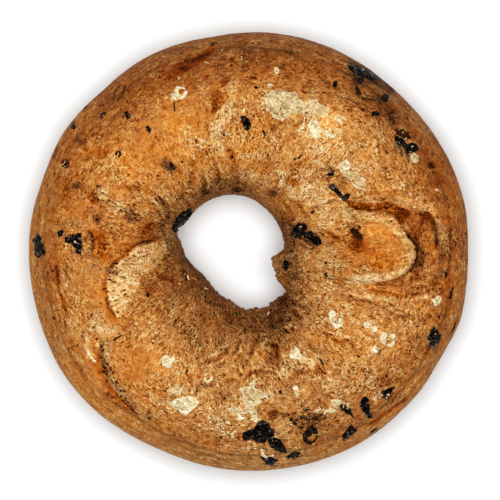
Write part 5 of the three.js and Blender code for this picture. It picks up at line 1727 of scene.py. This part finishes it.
def crust_grain(recipe, place, bent, turned, across_ring, round_ring):
    """The crust's fine wrinkled grain. It runs across the ring where turned is 0 and round it where 1."""
    def turning(kind, **settings):
        return recipe.blend(turned, kind(across_ring, **settings), kind(round_ring, **settings))

    strands = turning(recipe.worms, size=1.15)
    threads = turning(recipe.worms, size=0.7)
    shreds = turning(recipe.wave, size=0.42, detail=1.0)
    curls = recipe.worms(bent, 0.75, distortion=0.8)
    fine = recipe.wave(place, 0.28, detail=1.0, distortion=0.4)
    busy = recipe.step(recipe.wave(place, 4.0, distortion=0.7), -0.9, 0.9)
    glazed = recipe.step(recipe.field("warmth"), 0.6, 1.1)
    strength = recipe.total(
        (recipe.field("calm"), -0.55), (glazed, -0.25), (recipe.field("rim"), -0.3), (busy, 0.9), 0.67,
    )
    grain = recipe.math("MULTIPLY", recipe.math("MAXIMUM", strength, 0.2), recipe.total(
        (strands, 0.08), (threads, 0.1), (curls, 0.15), (shreds, 0.13), (fine, 0.13),
    ))
    return recipe.total(grain, (recipe.math("MINIMUM", grain, 0.0), -0.15))


def crust_material():
    recipe = Recipe("baked_crust")
    place = recipe.millimetres()
    bent = recipe.shaken(place, size=2.0, reach=1.4)
    round_ring = recipe.shaken(recipe.field("grain_round", "Vector"), 1.8, 1.4, place)
    across_ring = recipe.shaken(recipe.field("grain_across", "Vector"), 1.8, 1.4, place)
    turn = recipe.total(recipe.field("flow"), (recipe.wave(place, 7.0, detail=1.0), 0.5))
    turned = recipe.step(turn, 0.3, 0.7)

    broad = recipe.wave(place, 6.0, detail=3.0, roughness=0.55, distortion=0.6)
    blotch = recipe.wave(place, 2.6, detail=3.0, roughness=0.6, distortion=0.8)
    dapple = recipe.wave(bent, 1.1, distortion=0.5)
    grain = crust_grain(recipe, place, bent, turned, across_ring, round_ring)
    along_rim = recipe.vector_math("MULTIPLY", round_ring, (0.35, 0.35, 1.0))
    rim_streaks = recipe.wave(along_rim, 0.9, detail=3.0, roughness=0.65)
    streaks = recipe.math("MULTIPLY", rim_streaks, recipe.field("rim"))
    along_strands = recipe.vector_math("MULTIPLY", across_ring, (1.0, 1.0, 0.35))
    drawn_strands = recipe.wave(along_strands, 1.0, detail=3.0, roughness=0.7, distortion=0.6)
    drawn = recipe.math("MULTIPLY", drawn_strands, recipe.other(turned))

    short = recipe.vector_math("MULTIPLY", across_ring, (1.0, 1.0, 1.4))
    # Pin holes: spots of painted shade in the colour, also dented by the bump.
    pin_holes = recipe.spots(short, 0.9, 0.3, share=recipe.math("MULTIPLY", recipe.field("pores"), 0.8))
    blisters = recipe.spots(bent, 1.5, 0.26, share=recipe.math("MULTIPLY_ADD", broad, 0.1, 0.13))
    freckles = recipe.spots(place, 2.3, 0.3, share=0.07)
    tone = recipe.total(
        recipe.field("tone"), (broad, 0.05), (blotch, 0.11), (dapple, 0.1), grain, (streaks, 0.09),
        (drawn, 0.1), (pin_holes, -0.5), (blisters, 0.28), (freckles, -0.22),
    )
    tinge = recipe.wave(place, 4.5, detail=3.0, roughness=0.6, distortion=0.5)
    warmth = recipe.total(
        recipe.field("warmth"), (tinge, 0.3), (blotch, -0.2), (grain, -0.6), (streaks, -0.2),
        (pin_holes, -0.3),
    )
    orange_share = recipe.math("ADD", warmth, 0.0, clamp=True)
    crust = recipe.blend_colours(orange_share, recipe.ramp(tone, TAN), recipe.ramp(tone, ORANGE))

    haze = recipe.step(recipe.total(recipe.field("haze"), (recipe.wave(place, 1.2), 0.4)), -0.1, 0.4)
    dust = recipe.ramp(recipe.math("MULTIPLY_ADD", grain, 1.2, 0.45), CREAM)
    dusted = recipe.blend_colours(recipe.math("MULTIPLY", haze, 0.8), crust, dust)
    height = recipe.total(
        grain, (blotch, 0.3), (dapple, 0.25), (pin_holes, -0.8), (blisters, 0.35), (streaks, 0.2),
        (drawn, 0.3),
    )
    return recipe.finish(
        base_color=dusted, roughness=recipe.math("MULTIPLY_ADD", blotch, 0.08, 0.66),
        normal=recipe.bump(height, 0.3), specular_ior_level=CRUST_SPECULAR,
    )


def dark_fruit_material():
    recipe = Recipe("dark_fruit_skin")
    place = recipe.millimetres()
    ridges = recipe.worms(recipe.shaken(place, size=0.9, reach=0.9), 0.9, distortion=1.0)
    mottle = recipe.wave(place, 1.2, detail=3.0, roughness=0.7, distortion=0.5)
    # Painted highlights along the ridges of the skin.
    ridge_glints = recipe.math("MULTIPLY", recipe.step(ridges, 0.3, 0.9), recipe.step(mottle, -0.7, 0.7))
    grit = recipe.step(recipe.wave(place, 0.3, detail=1.0), 0.45, 0.9)
    skin = recipe.ramp(recipe.total((ridge_glints, 0.85), (mottle, 0.12), (grit, 0.25), 0.1), FRUIT_SKIN_AND_GLINTS)
    bumped = recipe.bump(recipe.total(ridges, mottle), 0.25)
    return recipe.finish(base_color=skin, roughness=0.42, normal=bumped, specular_ior_level=FRUIT_SPECULAR)


# Painted shade of a pore, also the colour of the darkest marks.
def pore_material():
    recipe = Recipe("dough_pore")
    place = recipe.millimetres()
    cloud = recipe.wave(place, 0.9, detail=3.0, roughness=0.6)
    curls = recipe.worms(place, 0.8, distortion=0.8)
    brown = recipe.ramp(recipe.total((cloud, 0.4), (curls, 0.2), 0.24), PORE_BROWN)
    return recipe.finish(base_color=brown, roughness=0.9, specular_ior_level=CRUST_SPECULAR)


# A painted shadow of a fold: dark red-brown and crumpled.
def fold_shadow_material():
    recipe = Recipe("painted_fold_shadow")
    place = recipe.millimetres()
    curls = recipe.worms(recipe.shaken(place, size=2.0, reach=1.4), 0.7, distortion=0.8)
    cloud = recipe.wave(place, 0.9, detail=3.0, roughness=0.6, distortion=0.5)
    red = recipe.ramp(recipe.total((cloud, 0.3), (curls, 0.22), 0.33), PAINTED_SHADOW_RED)
    return recipe.finish(base_color=red, roughness=0.75, specular_ior_level=CRUST_SPECULAR)


def starch_material(name, lightness):
    """A crumpled film of dried starch, with a painted highlight along its edge."""
    recipe = Recipe(name)
    place = recipe.millimetres()
    crumpled = recipe.shaken(place, size=1.6, reach=1.4)
    fold = recipe.worms(crumpled, 1.5, distortion=0.8)
    wrinkle = recipe.worms(crumpled, 0.8)
    cloud = recipe.wave(place, 2.4, detail=3.0, roughness=0.6, distortion=0.5)
    fine = recipe.wave(place, 0.4, detail=1.0)
    # A painted highlight along the flake's edge.
    edge = recipe.step(recipe.field("inset"), 0.7, 0.15)
    value = recipe.total((fold, 0.18), (wrinkle, 0.14), (cloud, 0.24), (fine, 0.1), (edge, 0.14), lightness)
    bumped = recipe.bump(recipe.total(fold, wrinkle, cloud), 0.12)
    starch = recipe.ramp(value, STARCH)
    return recipe.finish(base_color=starch, roughness=0.7, normal=bumped, specular_ior_level=CRUST_SPECULAR)


def crumb_and_glint_material():
    recipe = Recipe("pale_crumb")
    place = recipe.millimetres()
    cream = recipe.ramp(recipe.math("MULTIPLY_ADD", recipe.wave(place, 0.9), 0.3, 0.55), CREAM)
    bumped = recipe.bump(recipe.wave(place, 0.4, detail=1.0), 0.06)
    return recipe.finish(base_color=cream, roughness=0.65, normal=bumped)


def floor_material():
    return Recipe("studio_floor").finish(base_color=linear(FLOOR_WHITE), roughness=0.9)


# ---------------------------------------------------------------- the studio
def add_camera():
    """Straight above, with the photograph's width of view at the height of the bagel's outline."""
    data = bpy.data.cameras.new("camera")
    data.sensor_width = SENSOR_WIDTH
    data.lens = SENSOR_WIDTH * CAMERA_DISTANCE / VIEW_WIDTH
    data.clip_start, data.clip_end = CAMERA_CLIP
    camera = bpy.data.objects.new("camera", data)
    x, y = on_plan(VIEW_MIDDLE)
    camera.location = Vector((x, y, EQUATOR_HEIGHT + CAMERA_DISTANCE)) * MM
    bpy.context.scene.collection.objects.link(camera)
    bpy.context.scene.camera = camera


def add_light(name, place, size, share):
    """A round soft light at a place in metres, aimed at the bagel, that gives a share of full brightness."""
    data = bpy.data.lights.new(name, "AREA")
    data.shape = "DISK"
    data.size = size
    distance = Vector(place).length
    data.energy = share * math.pi**2 * (distance**2 + (size / 2) ** 2)
    light = bpy.data.objects.new(name, data)
    light.location = place
    light.rotation_euler = Vector(place).to_track_quat("Z", "Y").to_euler()
    bpy.context.scene.collection.objects.link(light)


def add_floor():
    floor = bpy.data.meshes.new("floor")
    corners = [(x * FLOOR_REACH, y * FLOOR_REACH, 0) for x, y in ((-1, -1), (1, -1), (1, 1), (-1, 1))]
    floor.from_pydata(corners, [], [(0, 1, 2, 3)])
    floor.materials.append(floor_material())
    ground = bpy.data.objects.new("floor", floor)
    bpy.context.scene.collection.objects.link(ground)


def add_studio():
    add_floor()
    for name, (place, size, share) in LIGHTS.items():
        add_light(name, place, size, share)
    world = bpy.data.worlds.new("studio")
    world.use_nodes = True
    background = world.node_tree.nodes["Background"]
    background.inputs["Color"].default_value = (1.0, 1.0, 1.0, 1.0)
    background.inputs["Strength"].default_value = WORLD_BRIGHTNESS
    bpy.context.scene.world = world
    bpy.context.scene.view_settings.view_transform = "Standard"


add_camera()
add_studio()
crust = make_crust()
surface = Surface(crust)
make_dark_fruit(surface)
make_pores(surface)
make_fold_shadows(surface)
make_scabs(surface)
make_crumbs_and_glints(surface)
